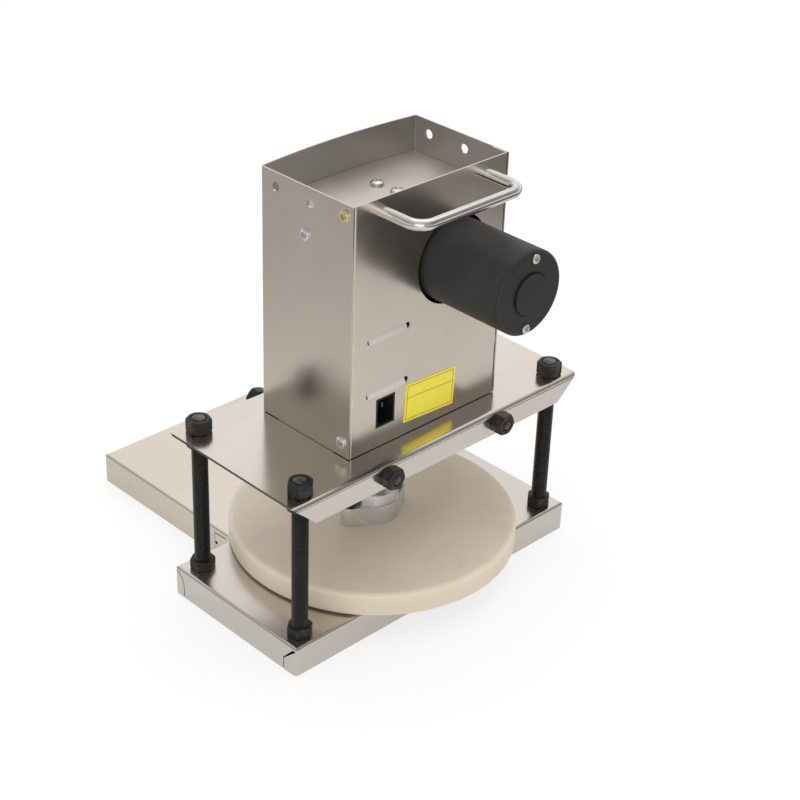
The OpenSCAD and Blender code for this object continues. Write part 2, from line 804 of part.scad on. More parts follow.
module rear_panel() {
    side = wall_in_x;
    color(steel) difference() {
        union() {
            translate([-side, rear_in_y, wall_low]) cube([2 * side, sheet_t, housing_top - wall_low]);
            for (x = [0, 1]) mirror([x, 0, 0])
                translate([side - sheet_t, rear_y - panel_flange, wall_low])
                    cube([sheet_t, panel_flange, cover_under - cover_flange_h - wall_low - 1]);
            for (x = [0, 1]) mirror([x, 0, 0])
                translate([side - sheet_t, rear_y - panel_flange, cover_top + 1])
                    cube([sheet_t, panel_flange, housing_top - cover_top - 1]);
        }
        for (x = [0, 1]) mirror([x, 0, 0])
            translate([side - panel_bend, rear_y - panel_bend, head_top - cut])
                linear_extrude(housing_h + 2 * cut) difference() {
                    square(panel_bend + cut);
                    circle(panel_bend);
                }
        for (z = vent_z) along_y(rear_in_y - cut, sheet_t + 2 * cut)
            translate([vent_x, z]) vent_2d(vent_w, vent_h);
        translate([gear_x, rear_y, motor_z]) rotate([90, 0, 0])
            cylinder(d = motor_d + 2 * motor_gap, h = 4 * sheet_t, center = true, $fn = big_fn);
        translate([inlet_x, rear_y, inlet_z]) cube([inlet_w, 4 * sheet_t, inlet_h], center = true);
        for (x = [-1, 1]) translate([x * handle_span / 2, rear_y, handle_z]) rotate([90, 0, 0])
            cylinder(r = handle_d / 2 - 1 + hole_play, h = 4 * sheet_t, center = true);
        for (z = [side_screw_low, side_screw_high]) side_hole(side_screw_y, z);
    }
    color(steel) for (z = vent_z) translate([0, 0, z]) vent_tongue();
}

module top_cover() {
    play = 0.2;
    color(steel) difference() {
        union() {
            translate([0, 0, cover_under]) linear_extrude(sheet_t)
                housing_2d(sheet_t + play, rear_in_y - play);
            for (x = [0, 1]) mirror([x, 0, 0])
                translate([wall_in_x - play - sheet_t, front_y + 6, cover_under - cover_flange_h])
                    cube([sheet_t, housing_d - 12 - sheet_t, cover_flange_h + sheet_t / 2]);
        }
        for (p = cover_screw_xy) translate([p[0], p[1], cover_under - cut])
            cylinder(d = bore(screw_d), h = sheet_t + 2 * cut);
        side_hole(cover_side_y, cover_side_z);
    }
}

module cover_screws() {
    color("silver") for (p = cover_screw_xy) translate([p[0], p[1], cover_top])
        pan_screw(screw_d, cover_head_d, cover_head_h, sheet_t + lug_h - 0.5);
}

// Screws through both side walls, heads outside
module side_screws(y, z) {
    for (x = [0, 1]) mirror([x, 0, 0]) translate([housing_w / 2, y, z]) rotate([0, 90, 0])
        pan_screw(screw_d, screw_head_d, screw_head_h, 2 * sheet_t + 3);
}

module housing_screws() {
    color("silver") {
        side_screws(side_screw_y, side_screw_low);
        side_screws(cover_side_y, cover_side_z);
    }
}

module brass_screws() { color("goldenrod") side_screws(side_screw_y, side_screw_high); }

module housing_base_screws() {
    color("silver") for (x = [-1, 1], y = [-1, 1])
        translate([x * base_screw_x, y * base_screw_y, head_under]) rotate([180, 0, 0])
            pan_screw(screw_d, screw_head_d - 1, screw_head_h, head_t + sheet_t + 4);
}

module carry_handle() {
    bend_y = rear_y + handle_reach - handle_bend;
    leg = handle_reach - handle_bend;
    color("gainsboro") {
        for (x = [0, 1]) mirror([x, 0, 0]) {
            translate([handle_span / 2, rear_y, handle_z]) rotate([-90, 0, 0])
                cylinder(d = handle_d, h = leg);
            translate([handle_span / 2, rear_y - handle_thread, handle_z]) rotate([-90, 0, 0])
                cylinder(r = handle_d / 2 - 1, h = handle_thread + 1);
            translate([handle_span / 2 - handle_bend, bend_y, handle_z])
                rotate_extrude(angle = 90) translate([handle_bend, 0]) circle(d = handle_d);
        }
        translate([0, rear_y + handle_reach, handle_z]) rotate([0, 90, 0])
            cylinder(d = handle_d, h = handle_span - 2 * handle_bend, center = true);
    }
}

module handle_nuts() {
    color("silver") for (x = [-1, 1])
        translate([x * handle_span / 2, rear_in_y, handle_z]) rotate([90, 0, 0])
            nut(handle_nut_af, handle_nut_h, handle_d - 2 + 2 * thread_play, 0);
}

// Places its children on the motor's axis, with +Z of the child pointing backwards
module on_motor(y) {
    translate([gear_x, y, motor_z]) rotate([-90, 0, 0]) children();
}

module motor_can() {
    color("DimGray") on_motor(gearbox_y1)
        cylinder(d = motor_d, h = rear_y + motor_len - motor_cap_t - gearbox_y1, $fn = big_fn);
}

module motor_end_cap() {
    r = motor_d / 2;
    color("DimGray") on_motor(rear_y + motor_len - motor_cap_t) difference() {
        union() {
            cylinder(r = r, h = motor_cap_t - motor_edge_r, $fn = big_fn);
            translate([0, 0, motor_cap_t - motor_edge_r]) rotate_extrude($fn = big_fn) {
                square([r - motor_edge_r, motor_edge_r]);
                translate([r - motor_edge_r, 0]) intersection() {
                    circle(motor_edge_r);
                    square(motor_edge_r);
                }
            }
            translate([0, 0, motor_cap_t - cut]) cylinder(r = motor_hub_r, h = motor_hub_h + cut);
        }
        translate([0, 0, motor_cap_t - 0.8]) difference() {
            cylinder(r = motor_hub_r + 1, h = cut);
            translate([0, 0, -cut]) cylinder(r = motor_hub_r, h = 3 * cut);
        }
        for (turn = [motor_screw_tilt, motor_screw_tilt + 180]) rotate(-turn)
            translate([motor_screw_r, 0, -cut]) cylinder(d = bore(middle_d), h = motor_cap_t + 2 * cut);
    }
}

module motor_screws() {
    color("silver") on_motor(rear_y + motor_len) for (turn = [motor_screw_tilt, motor_screw_tilt + 180])
        rotate(-turn) translate([motor_screw_r, 0, 0])
            pan_screw(middle_d, middle_head_d, middle_head_h, motor_cap_t);
}

module gearbox() {
    color("silver") on_motor(gearbox_y0) difference() {
        cylinder(d = gearbox_d, h = gearbox_y1 - gearbox_y0, $fn = big_fn);
        translate([0, 0, -cut]) cylinder(r = output_d / 2 + run_play, h = output_depth + cut);
        at_gearbox_screws() translate([0, 0, -cut]) cylinder(d = bore(middle_d), h = gearbox_hole_l + cut);
    }
}

// Places its children at the four screws between gear frame and gearbox
module at_gearbox_screws() {
    for (turn = [45:90:315]) rotate(turn) translate([gearbox_d / 2 - gearbox_screw_in, 0, 0]) children();
}

module gearbox_screws() {
    color("silver") on_motor(rear_plate_y) at_gearbox_screws() rotate([180, 0, 0])
        pan_screw(middle_d, middle_head_d, middle_head_h, frame_t + gearbox_hole_l - 1);
}

module gearbox_shaft() {
    front = gear_y0 - 1;
    color("LightGray") translate([gear_x, front, motor_z]) rotate([-90, 0, 0])
        cylinder(d = output_d, h = gearbox_y0 + output_depth - 0.5 - front);
}

module drive_gear() {
    color("DarkGoldenrod") translate([gear_x, 0, motor_z])
        along_y(gear_y0, gear_w) gear_2d(drive_teeth, -90, output_d);
}

module driven_gear() {
    web = 3;
    color("DarkGoldenrod") translate([gear_x, 0, pinion_z]) difference() {
        along_y(gear_y0, gear_w) gear_2d(driven_teeth, 90 + 180 / driven_teeth, shaft_d);
        translate([0, gear_y1 - web, 0]) rotate([-90, 0, 0]) difference() {
            cylinder(r = driven_r - 6, h = web + cut);
            translate([0, 0, -cut]) cylinder(r = shaft_d / 2 + 5, h = web + 3 * cut);
        }
    }
}

module rack_pinion() {
    collar = 3;
    color("silver") translate([gear_x, 0, pinion_z]) {
        along_y(pinion_y0, pinion_w) gear_2d(pinion_teeth, 0, shaft_d);
        translate([0, pinion_y0 + pinion_w, 0]) rotate([-90, 0, 0]) difference() {
            cylinder(d = shaft_d + 6, h = collar);
            translate([0, 0, -cut]) cylinder(d = shaft_d, h = collar + 2 * cut);
        }
    }
}

module pinion_shaft() {
    front = front_plate_y - frame_t - 2.5;
    back = rear_plate_y + frame_t + 2.5;
    color("LightGray") translate([gear_x, front, pinion_z]) rotate([-90, 0, 0])
        cylinder(d = shaft_d, h = back - front);
}

module shaft_clips() {
    clip_t = 1;
    color("DimGray") for (y = [front_plate_y - frame_t - 0.7 - clip_t, rear_plate_y + frame_t + 0.7])
        translate([gear_x, y, pinion_z]) rotate([-90, 0, 0]) difference() {
            cylinder(d = shaft_d + 5, h = clip_t);
            translate([0, 0, -cut]) cylinder(d = shaft_d, h = clip_t + 2 * cut);
            translate([0, -1.2, -cut]) cube([shaft_d, 2.4, clip_t + 2 * cut]);
        }
}

module shaft_bearings() {
    color("Gainsboro") for (y = [front_plate_y - frame_t / 2, rear_plate_y + frame_t / 2])
        translate([gear_x, y, pinion_z]) rotate([90, 0, 0]) difference() {
            cylinder(d = bearing_d, h = bearing_w, center = true);
            cylinder(r = shaft_d / 2 + run_play, h = bearing_w + 2 * cut, center = true);
        }
}

// Upright plate of the gear frame with a foot turned to the given side
module frame_plate(y, side) {
    foot_y = side > 0 ? y : y - foot_l;
    foot_hole_y = side > 0 ? y + frame_t + foot_l / 2 : y - foot_l / 2;
    difference() {
        union() {
            translate([frame_x0, y, head_top]) cube([frame_x1 - frame_x0, frame_t, frame_z1 - head_top]);
            translate([frame_x0, foot_y, head_top]) cube([frame_x1 - frame_x0, foot_l + frame_t, frame_t]);
        }
        through_plate(gear_x, y, pinion_z, bearing_d);
        for (x = frame_screw_x) translate([x, foot_hole_y, head_top - cut])
            cylinder(d = bore(screw_d), h = frame_t + 2 * cut);
        at_posts() through_plate(0, y, 0, bore(screw_d));
        for (z = [-1, 1]) through_plate(pad_screw_x, y, pinion_z + z * pad_screw_z, bore(small_d));
        through_plate(lug_x, y, lug_z, bore(small_d));
    }
}

module through_plate(x, y, z, d) {
    translate([x, y - cut, z]) rotate([-90, 0, 0]) cylinder(d = d, h = frame_t + 2 * cut);
}

// Places its children at the four spacers between the frame plates
module at_posts() {
    for (x = [frame_x0 + post_in, frame_x1 - post_in], z = [head_top + post_rise, frame_z1 - post_in])
        translate([x, 0, z]) children();
}

module gear_frame_front() {
    color("SlateGray") frame_plate(front_plate_y - frame_t, -1);
}

module gear_frame_rear() {
    color("SlateGray") difference() {
        frame_plate(rear_plate_y, 1);
        on_motor(rear_plate_y - cut) {
            cylinder(d = output_d + 8, h = frame_t + 2 * cut);
            at_gearbox_screws() cylinder(d = bore(middle_d), h = frame_t + 2 * cut);
        }
    }
}

// Four round spacers, and the bar at the top that the cover is screwed to
module frame_posts() {
    length = rear_plate_y - front_plate_y;
    color("silver") difference() {
        union() {
            at_posts() translate([0, front_plate_y, 0]) rotate([-90, 0, 0])
                cylinder(d = post_d, h = length);
            translate([lug_x - lug_w / 2, front_plate_y, cover_under - lug_h]) cube([lug_w, length, lug_h]);
        }
        at_posts() for (y = [front_plate_y - cut, rear_plate_y - post_hole_l]) translate([0, y, 0])
            rotate([-90, 0, 0]) cylinder(d = bore(screw_d), h = post_hole_l + cut);
        for (p = cover_screw_xy) translate([p[0], p[1], cover_under - lug_h - cut])
            cylinder(d = bore(screw_d), h = lug_h + 2 * cut);
        for (y = [front_plate_y - cut, rear_plate_y - lug_hole_l]) translate([lug_x, y, lug_z])
            rotate([-90, 0, 0]) cylinder(d = bore(small_d), h = lug_hole_l + cut);
    }
}

module frame_screws() {
    color("silver") {
        for (side = [0, 1]) {
            at_posts() to_plate(side)
                pan_screw(screw_d, screw_head_d, screw_head_h, frame_t + post_hole_l - 1);
            for (z = [-1, 1]) translate([pad_screw_x, 0, pinion_z + z * pad_screw_z])
                to_plate(side) pan_screw(small_d, small_head_d, small_head_h, frame_t + lug_hole_l - 1);
            translate([lug_x, 0, lug_z])
                to_plate(side) pan_screw(small_d, small_head_d, small_head_h, frame_t + lug_hole_l - 1);
        }
        for (x = frame_screw_x, y = foot_screw_y)
            translate([x, y, head_under]) rotate([180, 0, 0])
                pan_screw(screw_d, screw_head_d, screw_head_h, head_t + frame_t + 2);
    }
}

// Turns a screw's head outwards on the front plate (0) or the rear plate (1)
module to_plate(side) {
    y = side > 0 ? rear_plate_y + frame_t : front_plate_y - frame_t;
    translate([0, y, 0]) rotate([side > 0 ? -90 : 90, 0, 0]) children();
}

module ram() {
    color("silver") difference() {
        translate([0, ram_y, 0]) rod(ram_d, ram_low, ram_high);
        translate([rack_tip_x - ram_d, ram_y - ram_d, rack_low])
            cube([ram_d, 2 * ram_d, ram_high - rack_low + cut]);
        for (k = [-rack_down_teeth:rack_up_teeth]) translate([0, 0, pinion_z + k * rack_pitch])
            along_y(ram_y - ram_d, 2 * ram_d) rack_space_2d();
    }
}

module ram_guide_bush() {
    color("DarkGoldenrod") translate([0, ram_y, 0]) difference() {
        union() {
            translate([0, 0, bush_low]) cylinder(r = bush_r, h = bush_high - bush_low);
            translate([0, 0, head_top]) cylinder(r = bush_flange_r, h = bush_flange_t);
        }
        translate([0, 0, bush_low - cut])
            cylinder(r = ram_d / 2 + run_play, h = bush_high - bush_low + 2 * cut);
        for (turn = [45:90:315]) rotate(turn) translate([bush_screw_r, 0, head_top - cut])
            cylinder(d = bore(small_d), h = bush_flange_t + 2 * cut);
    }
}

module bush_screws() {
    color("silver") for (turn = [45:90:315]) translate([0, ram_y, head_top + bush_flange_t]) rotate(turn)
        translate([bush_screw_r, 0, 0])
            pan_screw(small_d, small_head_d, small_head_h, bush_flange_t + head_t);
}

module ram_back_pad() {
    x0 = ram_d / 2 - pad_wrap;
    color("DarkGoldenrod") difference() {
        translate([x0, front_plate_y, pinion_z - pad_h / 2])
            cube([pad_w, rear_plate_y - front_plate_y, pad_h]);
        translate([0, ram_y, pinion_z]) cylinder(r = ram_d / 2 + run_play, h = 2 * pad_h, center = true);
        translate([gear_x, gear_y0 - 0.5, pinion_z]) rotate([-90, 0, 0])
            cylinder(r = driven_r + gear_m + 0.5, h = gear_w + 1, $fn = big_fn);
        for (z = [-1, 1], y = [front_plate_y - cut, rear_plate_y - lug_hole_l])
            translate([pad_screw_x, y, pinion_z + z * pad_screw_z]) rotate([-90, 0, 0])
                cylinder(d = bore(small_d), h = lug_hole_l + cut);
    }
}

// Finger on the ram's top that presses the limit switches, with its screw
module switch_flag() {
    front = ram_y - ram_d / 2 - flag_reach;
    color("silver") {
        translate([-flag_w / 2, front, ram_high]) cube([flag_w, ram_y + ram_d / 4 - front, flag_t]);
        translate([0, ram_y, ram_high + flag_t]) pan_screw(screw_d, screw_head_d - 1.5, 2, flag_t);
    }
}

module limit_switches() {
    reach = ram_y - ram_d / 2 - flag_reach - switch_lever - front_plate_y;
    nib_z = (switch_size[2] - switch_nib[1]) / 2;
    color("DimGray") for (z = [0, stroke])
        translate([0, front_plate_y, ram_high + flag_t / 2 - switch_size[2] / 2 + z]) {
            translate([-switch_size[0] / 2, 0, 0]) cube(switch_size);
            translate([-switch_nib[0] / 2, 0, nib_z]) cube([switch_nib[0], reach, switch_nib[1]]);
        }
}

module rhomb_2d() {
    turn = acos((boss_d / 2 - lobe_r) / (lobe_pitch / 2));
    big = boss_d / 2 * [cos(turn), sin(turn)];
    small = [lobe_pitch / 2, 0] + lobe_r * [cos(turn), sin(turn)];
    circle(d = boss_d);
    for (x = [-1, 1]) translate([x * lobe_pitch / 2, 0]) circle(lobe_r);
    polygon([
        [small[0], small[1]], [big[0], big[1]], [-big[0], big[1]], [-small[0], small[1]],
        [-small[0], -small[1]], [-big[0], -big[1]], [big[0], -big[1]], [small[0], -small[1]]
    ]);
}

module plate_flange() {
    color("LightGray") translate([0, ram_y, 0]) difference() {
        union() {
            translate([0, 0, disc_top]) linear_extrude(boss_t) rhomb_2d();
            translate([0, 0, boss_top - cut]) cylinder(d = hub_d, h = hub_h + cut);
        }
        translate([0, 0, ram_low]) cylinder(d = ram_d, h = hub_top);
        for (x = [-1, 1]) translate([x * lobe_pitch / 2, 0, disc_top - cut])
            cylinder(r = flange_screw_d / 2 + hole_play, h = boss_t + 2 * cut);
        translate([0, 0, boss_top + hub_h / 2]) rotate([90, 0, 0])
            cylinder(d = bore(set_screw_d), h = hub_d);
    }
}

module flange_screws() {
    color("DimGray") translate([0, ram_y, 0]) {
        for (x = [-1, 1]) translate([x * lobe_pitch / 2, 0, boss_top])
            socket_screw(flange_screw_d, flange_head_d, flange_head_h, boss_t + disc_t / 2);
        translate([0, -ram_d / 2, boss_top + hub_h / 2]) rotate([90, 0, 0])
            cylinder(d = set_screw_d, h = (hub_d - ram_d) / 2 - 0.5);
    }
}

module press_disc() {
    low_round = 1.5;
    r = disc_d / 2;
    color("wheat") translate([0, ram_y, disc_low]) difference() {
        rotate_extrude($fn = big_fn) {
            translate([0, low_round]) square([r, disc_t - disc_round - low_round]);
            square([r - low_round, low_round + cut]);
            translate([0, disc_t - disc_round - cut]) square([r - disc_round, disc_round + cut]);
            translate([r - disc_round, disc_t - disc_round]) circle(disc_round);
            translate([r - low_round, low_round]) circle(low_round);
        }
        for (x = [-1, 1]) translate([x * lobe_pitch / 2, 0, disc_t / 2])
            cylinder(d = bore(flange_screw_d), h = disc_t);
    }
}

module power_inlet() {
    hole_w = inlet_w - 2 * inlet_wall;
    hole_h = inlet_h - 2 * inlet_wall;
    color("black") difference() {
        union() {
            translate([inlet_x - inlet_w / 2, rear_y - inlet_depth, inlet_z - inlet_h / 2])
                cube([inlet_w, inlet_depth, inlet_h]);
            translate([inlet_x - inlet_w / 2 - inlet_lip, rear_in_y - 2, inlet_z - inlet_h / 2 - inlet_lip])
                cube([inlet_w + 2 * inlet_lip, 2, inlet_h + 2 * inlet_lip]);
        }
        translate([inlet_x - hole_w / 2, inlet_floor_y, inlet_z - hole_h / 2])
            cube([hole_w, inlet_depth, hole_h]);
        for (p = inlet_pin_places) translate([inlet_x + p[0], inlet_floor_y, inlet_z + p[1]])
            cube([inlet_pin[0], 2 * inlet_back_t, inlet_pin[2]], center = true);
    }
}

module inlet_pins() {
    color("silver") for (p = inlet_pin_places)
        translate([inlet_x + p[0], rear_y - inlet_depth + inlet_pin[1] / 2, inlet_z + p[1]])
            cube(inlet_pin, center = true);
}

module control_board() {
    color("green") difference() {
        union() {
            translate([board_x, board_y0, board_z0]) cube([board_t, board_d, board_h]);
            for (part = board_parts) translate([board_x - part[2], board_y0 + part[0], board_z0 + part[1]])
                cube([part[2] + board_t / 2, part[3], part[4]]);
            translate([board_x, board_y0 + board_can[0], board_z0 + board_can[1]]) rotate([0, -90, 0])
                cylinder(d = board_can[2], h = board_can[3]);
        }
        board_places() translate([-cut, 0, 0]) rotate([0, 90, 0])
            cylinder(d = bore(small_d), h = 4 * board_t);
    }
}

module board_places() {
    for (y = [board_y0 + board_post_in, board_y0 + board_d - board_post_in],
         z = [board_z0 + board_post_in, board_z0 + board_h - board_post_in])
        translate([board_x, y, z]) children();
}

module board_posts() {
    color("silver") board_places() {
        translate([board_t, 0, 0]) rotate([0, 90, 0]) cylinder(d = board_post_d, h = board_gap);
        rotate([0, -90, 0]) pan_screw(small_d, small_head_d, small_head_h, board_t);
    }
}

module sticker() {
    color("gold") translate([sticker_x, rear_y, sticker_z]) rotate([0, -sticker_tilt, 0])
        translate([-sticker_w / 2, 0, -sticker_h / 2]) cube([sticker_w, sticker_t, sticker_h]);
}

module button_body() {
    color("silver") translate([0, bow_front_y, button_z]) rotate([90, 0, 0]) difference() {
        union() {
            cylinder(d = button_ring_d, h = button_stand);
            translate([0, 0, -button_depth]) cylinder(d = button_barrel_d, h = button_depth + cut);
            translate([0, 0, -sheet_t - button_nut_t - 0.3])
                cylinder(d = button_ring_d / cos(30), h = button_nut_t, $fn = 6);
        }
        translate([0, 0, -button_seat - button_travel - 0.5])
            cylinder(r = button_d / 2 + run_play, h = button_depth);
    }
}

module start_button() {
    length = button_seat + button_proud;
    edge = 1;
    color("green") translate([0, bow_front_y + button_seat, button_z]) rotate([90, 0, 0]) {
        cylinder(d = button_d, h = length - edge);
        translate([0, 0, length - edge]) cylinder(d1 = button_d, d2 = button_d - 2 * edge, h = edge);
    }
}

module switch_frame() {
    hole_w = rocker_w - 2 * rocker_rim - 2 * rocker_wall / 2;
    hole_h = rocker_h - 2 * rocker_rim - 2 * rocker_wall / 2;
    body_w = hole_w + 2 * rocker_wall;
    body_h = hole_h + 2 * rocker_wall;
    color("black") translate([0, bow_front_y, rocker_z]) difference() {
        union() {
            translate([-rocker_w / 2, -rocker_plate_t, -rocker_h / 2])
                cube([rocker_w, rocker_plate_t, rocker_h]);
            translate([-body_w / 2, -cut, -body_h / 2]) cube([body_w, rocker_depth + cut, body_h]);
        }
        translate([-hole_w / 2, -rocker_plate_t - cut, -hole_h / 2])
            cube([hole_w, rocker_plate_t + cut + rocker_depth - rocker_back_t, hole_h]);
        translate([0, rocker_pivot_in, 0]) rotate([0, 90, 0])
            cylinder(r = rocker_pin_d / 2 + run_play, h = rocker_w, center = true);
    }
}

module power_rocker() {
    width = rocker_w - 2 * rocker_rim - rocker_wall - 0.8;
    pin_l = rocker_w - 2 * rocker_rim + rocker_wall - 0.2;
    color("red") translate([0, bow_front_y + rocker_pivot_in, rocker_z]) {
        along_x(-width / 2, width) rotate(rocker_tilt) rocker_2d();
        rotate([0, 90, 0]) cylinder(d = rocker_pin_d, h = pin_l, center = true);
    }
}

// Side view of the rocker key: two faces that meet in a shallow valley, with the pivot behind
module rocker_2d() {
    reach = rocker_h / 2 - rocker_rim - 1.5;
    polygon([[-4.6, 0], [-5.6, reach], [0.5, reach - 0.6], [4, 0], [0.5, 0.6 - reach], [-5.6, -reach]]);
}

base_frame();
front_table();
table_bolts();
table_nuts();
bed_block();
column_front_left();
column_front_right();
column_rear_left();
column_rear_right();
foot_nuts();
foot_lock_nuts();
head_plate();
head_support_nuts();
head_top_nuts();
tie_rod_left();
tie_rod_right();
tie_rod_nuts();
housing_wrap();
rear_panel();
top_cover();
cover_screws();
housing_screws();
brass_screws();
housing_base_screws();
carry_handle();
handle_nuts();
motor_can();
motor_end_cap();
motor_screws();
gearbox();
gearbox_screws();
gearbox_shaft();
drive_gear();
driven_gear();
rack_pinion();
pinion_shaft();
shaft_clips();
shaft_bearings();
gear_frame_front();
gear_frame_rear();
frame_posts();
frame_screws();
ram();
ram_guide_bush();
bush_screws();
ram_back_pad();
switch_flag();
limit_switches();
plate_flange();
flange_screws();
press_disc();
power_inlet();
inlet_pins();
control_board();
board_posts();
sticker();
button_body();
start_button();
switch_frame();
power_rocker();
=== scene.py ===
"""The looks of a motor-driven crepe press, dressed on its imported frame."""
import json
import math

import bmesh
import bpy
from mathutils import Matrix, Vector


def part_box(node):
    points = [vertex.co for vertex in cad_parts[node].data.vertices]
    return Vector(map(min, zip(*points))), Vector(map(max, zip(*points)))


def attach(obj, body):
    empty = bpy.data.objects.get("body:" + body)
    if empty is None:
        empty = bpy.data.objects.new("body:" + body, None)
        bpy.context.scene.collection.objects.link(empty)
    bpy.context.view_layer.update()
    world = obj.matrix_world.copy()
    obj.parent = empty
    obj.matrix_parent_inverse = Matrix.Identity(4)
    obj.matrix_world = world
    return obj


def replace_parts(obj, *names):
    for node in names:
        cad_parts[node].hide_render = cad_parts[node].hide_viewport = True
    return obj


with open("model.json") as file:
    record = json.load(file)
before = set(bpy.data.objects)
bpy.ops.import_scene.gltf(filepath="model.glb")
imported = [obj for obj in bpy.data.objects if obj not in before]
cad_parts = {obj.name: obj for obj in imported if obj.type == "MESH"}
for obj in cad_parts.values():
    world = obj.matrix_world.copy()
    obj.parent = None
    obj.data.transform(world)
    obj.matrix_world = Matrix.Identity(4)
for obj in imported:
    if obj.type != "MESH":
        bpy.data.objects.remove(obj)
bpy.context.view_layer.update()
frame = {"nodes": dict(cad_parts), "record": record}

NODES = frame["nodes"]
MM = 0.001
TAU = 2 * math.pi
HALF_SHEET = 0.6 * MM


def box_mm(node):
    """Lowest and highest corner of a CAD node, in millimetres."""
    low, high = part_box(node)
    return low / MM, high / MM


def put_in_scene(name, data):
    """An object made of a mesh, a camera or a lamp, linked to the scene."""
    item = bpy.data.objects.new(name, data)
    bpy.context.scene.collection.objects.link(item)
    return item


# Camera, solved from the photograph

PHOTO_PX = 800
FOCAL_PX = 1796.66
SENSOR_MM = 36
AZIMUTH = math.radians(134.802)
ELEVATION = math.radians(30.222)
ROLL = math.radians(2.062)
TARGET = Vector((-0.00485, 0.01630, 0.14756))
DISTANCE = 1.3149


def make_camera():
    """Adds the camera at the place that the photograph was taken from."""
    back = Vector((math.sin(AZIMUTH) * math.cos(ELEVATION),
                   -math.cos(AZIMUTH) * math.cos(ELEVATION),
                   math.sin(ELEVATION)))
    level = (-back).cross(Vector((0, 0, 1))).normalized()
    up = level.cross(-back).normalized()
    side = level * math.cos(ROLL) + up * math.sin(ROLL)
    top = up * math.cos(ROLL) - level * math.sin(ROLL)
    turn = Matrix((side, top, back)).transposed()
    data = bpy.data.cameras.new("photo_camera")
    data.sensor_width = SENSOR_MM
    data.lens = FOCAL_PX / PHOTO_PX * SENSOR_MM
    camera = put_in_scene("photo_camera", data)
    camera.matrix_world = Matrix.Translation(TARGET + back * DISTANCE) @ turn.to_4x4()
    bpy.context.scene.camera = camera


# Node graphs

class Graph:
    """A node tree under construction: most methods add a node and return its output."""

    def __init__(self, tree):
        self.tree = tree
        tree.nodes.clear()

    def add(self, kind):
        return self.tree.nodes.new(kind)

    def link(self, a, b):
        self.tree.links.new(a, b)

    def put(self, value, socket):
        """Links an output to a socket, or sets the socket's own value."""
        if isinstance(value, bpy.types.NodeSocket):
            self.link(value, socket)
        elif isinstance(value, (tuple, list)) and len(value) == 3 and socket.type == "RGBA":
            socket.default_value = (*value, 1)
        else:
            socket.default_value = value

    def remap(self, value, low, high, to_low=0.0, to_high=1.0):
        """Maps low to high onto to_low to to_high, and stops at both."""
        node = self.add("ShaderNodeMapRange")
        self.put(value, node.inputs["Value"])
        names = ("From Min", "From Max", "To Min", "To Max")
        for name, number in zip(names, (low, high, to_low, to_high)):
            node.inputs[name].default_value = number
        return node.outputs["Result"]

    def math(self, operation, *values):
        node = self.add("ShaderNodeMath")
        node.operation = operation
        for value, socket in zip(values, node.inputs):
            self.put(value, socket)
        return node.outputs[0]

    def ray_masks(self):
        """1 for camera rays alone, and 1 for camera, glossy and transmission rays together."""
        rays = self.add("ShaderNodeLightPath").outputs
        camera = rays["Is Camera Ray"]
        seen = self.math("MAXIMUM", camera, rays["Is Glossy Ray"])
        return camera, self.math("MAXIMUM", seen, rays["Is Transmission Ray"])

    def shader(self, kind, **values):
        """A plain shader node with the given sockets."""
        node = self.add(kind)
        for name, value in values.items():
            self.put(value, node.inputs[name])
        return node.outputs[0]

    def join(self, kind, *inputs):
        """A node that joins shaders, such as a mix with its factor first."""
        node = self.add(kind)
        for value, socket in zip(inputs, node.inputs):
            self.link(value, socket)
        return node.outputs[0]


class Shader(Graph):
    """A material under construction, in object coordinates."""

    def __init__(self, name):
        self.material = bpy.data.materials.new(name)
        self.material.use_nodes = True
        super().__init__(self.material.node_tree)
        self.out = self.add("ShaderNodeOutputMaterial")
        self.bsdf = self.add("ShaderNodeBsdfPrincipled")
        self.link(self.bsdf.outputs["BSDF"], self.out.inputs["Surface"])
        self.coord = self.add("ShaderNodeTexCoord").outputs["Object"]

    def set(self, **values):
        """Fills sockets of the surface: an underscore stands for a space in a socket's name."""
        for name, value in values.items():
            self.put(value, self.bsdf.inputs[name.replace("_", " ")])

    def stretch(self, x, y, z):
        node = self.add("ShaderNodeMapping")
        self.link(self.coord, node.inputs["Vector"])
        node.inputs["Scale"].default_value = (x, y, z)
        return node.outputs["Vector"]

    def noise(self, scale, detail, rough, vector=None, distortion=0.0):
        node = self.add("ShaderNodeTexNoise")
        self.link(vector or self.coord, node.inputs["Vector"])
        node.inputs["Scale"].default_value = scale
        node.inputs["Detail"].default_value = detail
        node.inputs["Roughness"].default_value = rough
        node.inputs["Distortion"].default_value = distortion
        return node.outputs["Fac"]

    def cells(self, scale, vector=None, feature="F1"):
        node = self.add("ShaderNodeTexVoronoi")
        node.feature = feature
        self.link(vector or self.coord, node.inputs["Vector"])
        node.inputs["Scale"].default_value = scale
        return node.outputs["Distance"]

    def mix(self, factor, a, b):
        """Colour a where the factor is 0, and b where it is 1."""
        node = self.add("ShaderNodeMix")
        node.data_type = "RGBA"
        self.put(factor, node.inputs[0])
        self.put(a, node.inputs[6])
        self.put(b, node.inputs[7])
        return node.outputs[2]

    def split(self):
        """The object coordinates x, y and z."""
        node = self.add("ShaderNodeSeparateXYZ")
        self.link(self.coord, node.inputs[0])
        return node.outputs

    def bump(self, height, strength, distance, normal=None):
        node = self.add("ShaderNodeBump")
        node.inputs["Strength"].default_value = strength
        node.inputs["Distance"].default_value = distance
        self.link(height, node.inputs["Height"])
        if normal:
            self.link(normal, node.inputs["Normal"])
        return node.outputs["Normal"]


# Materials

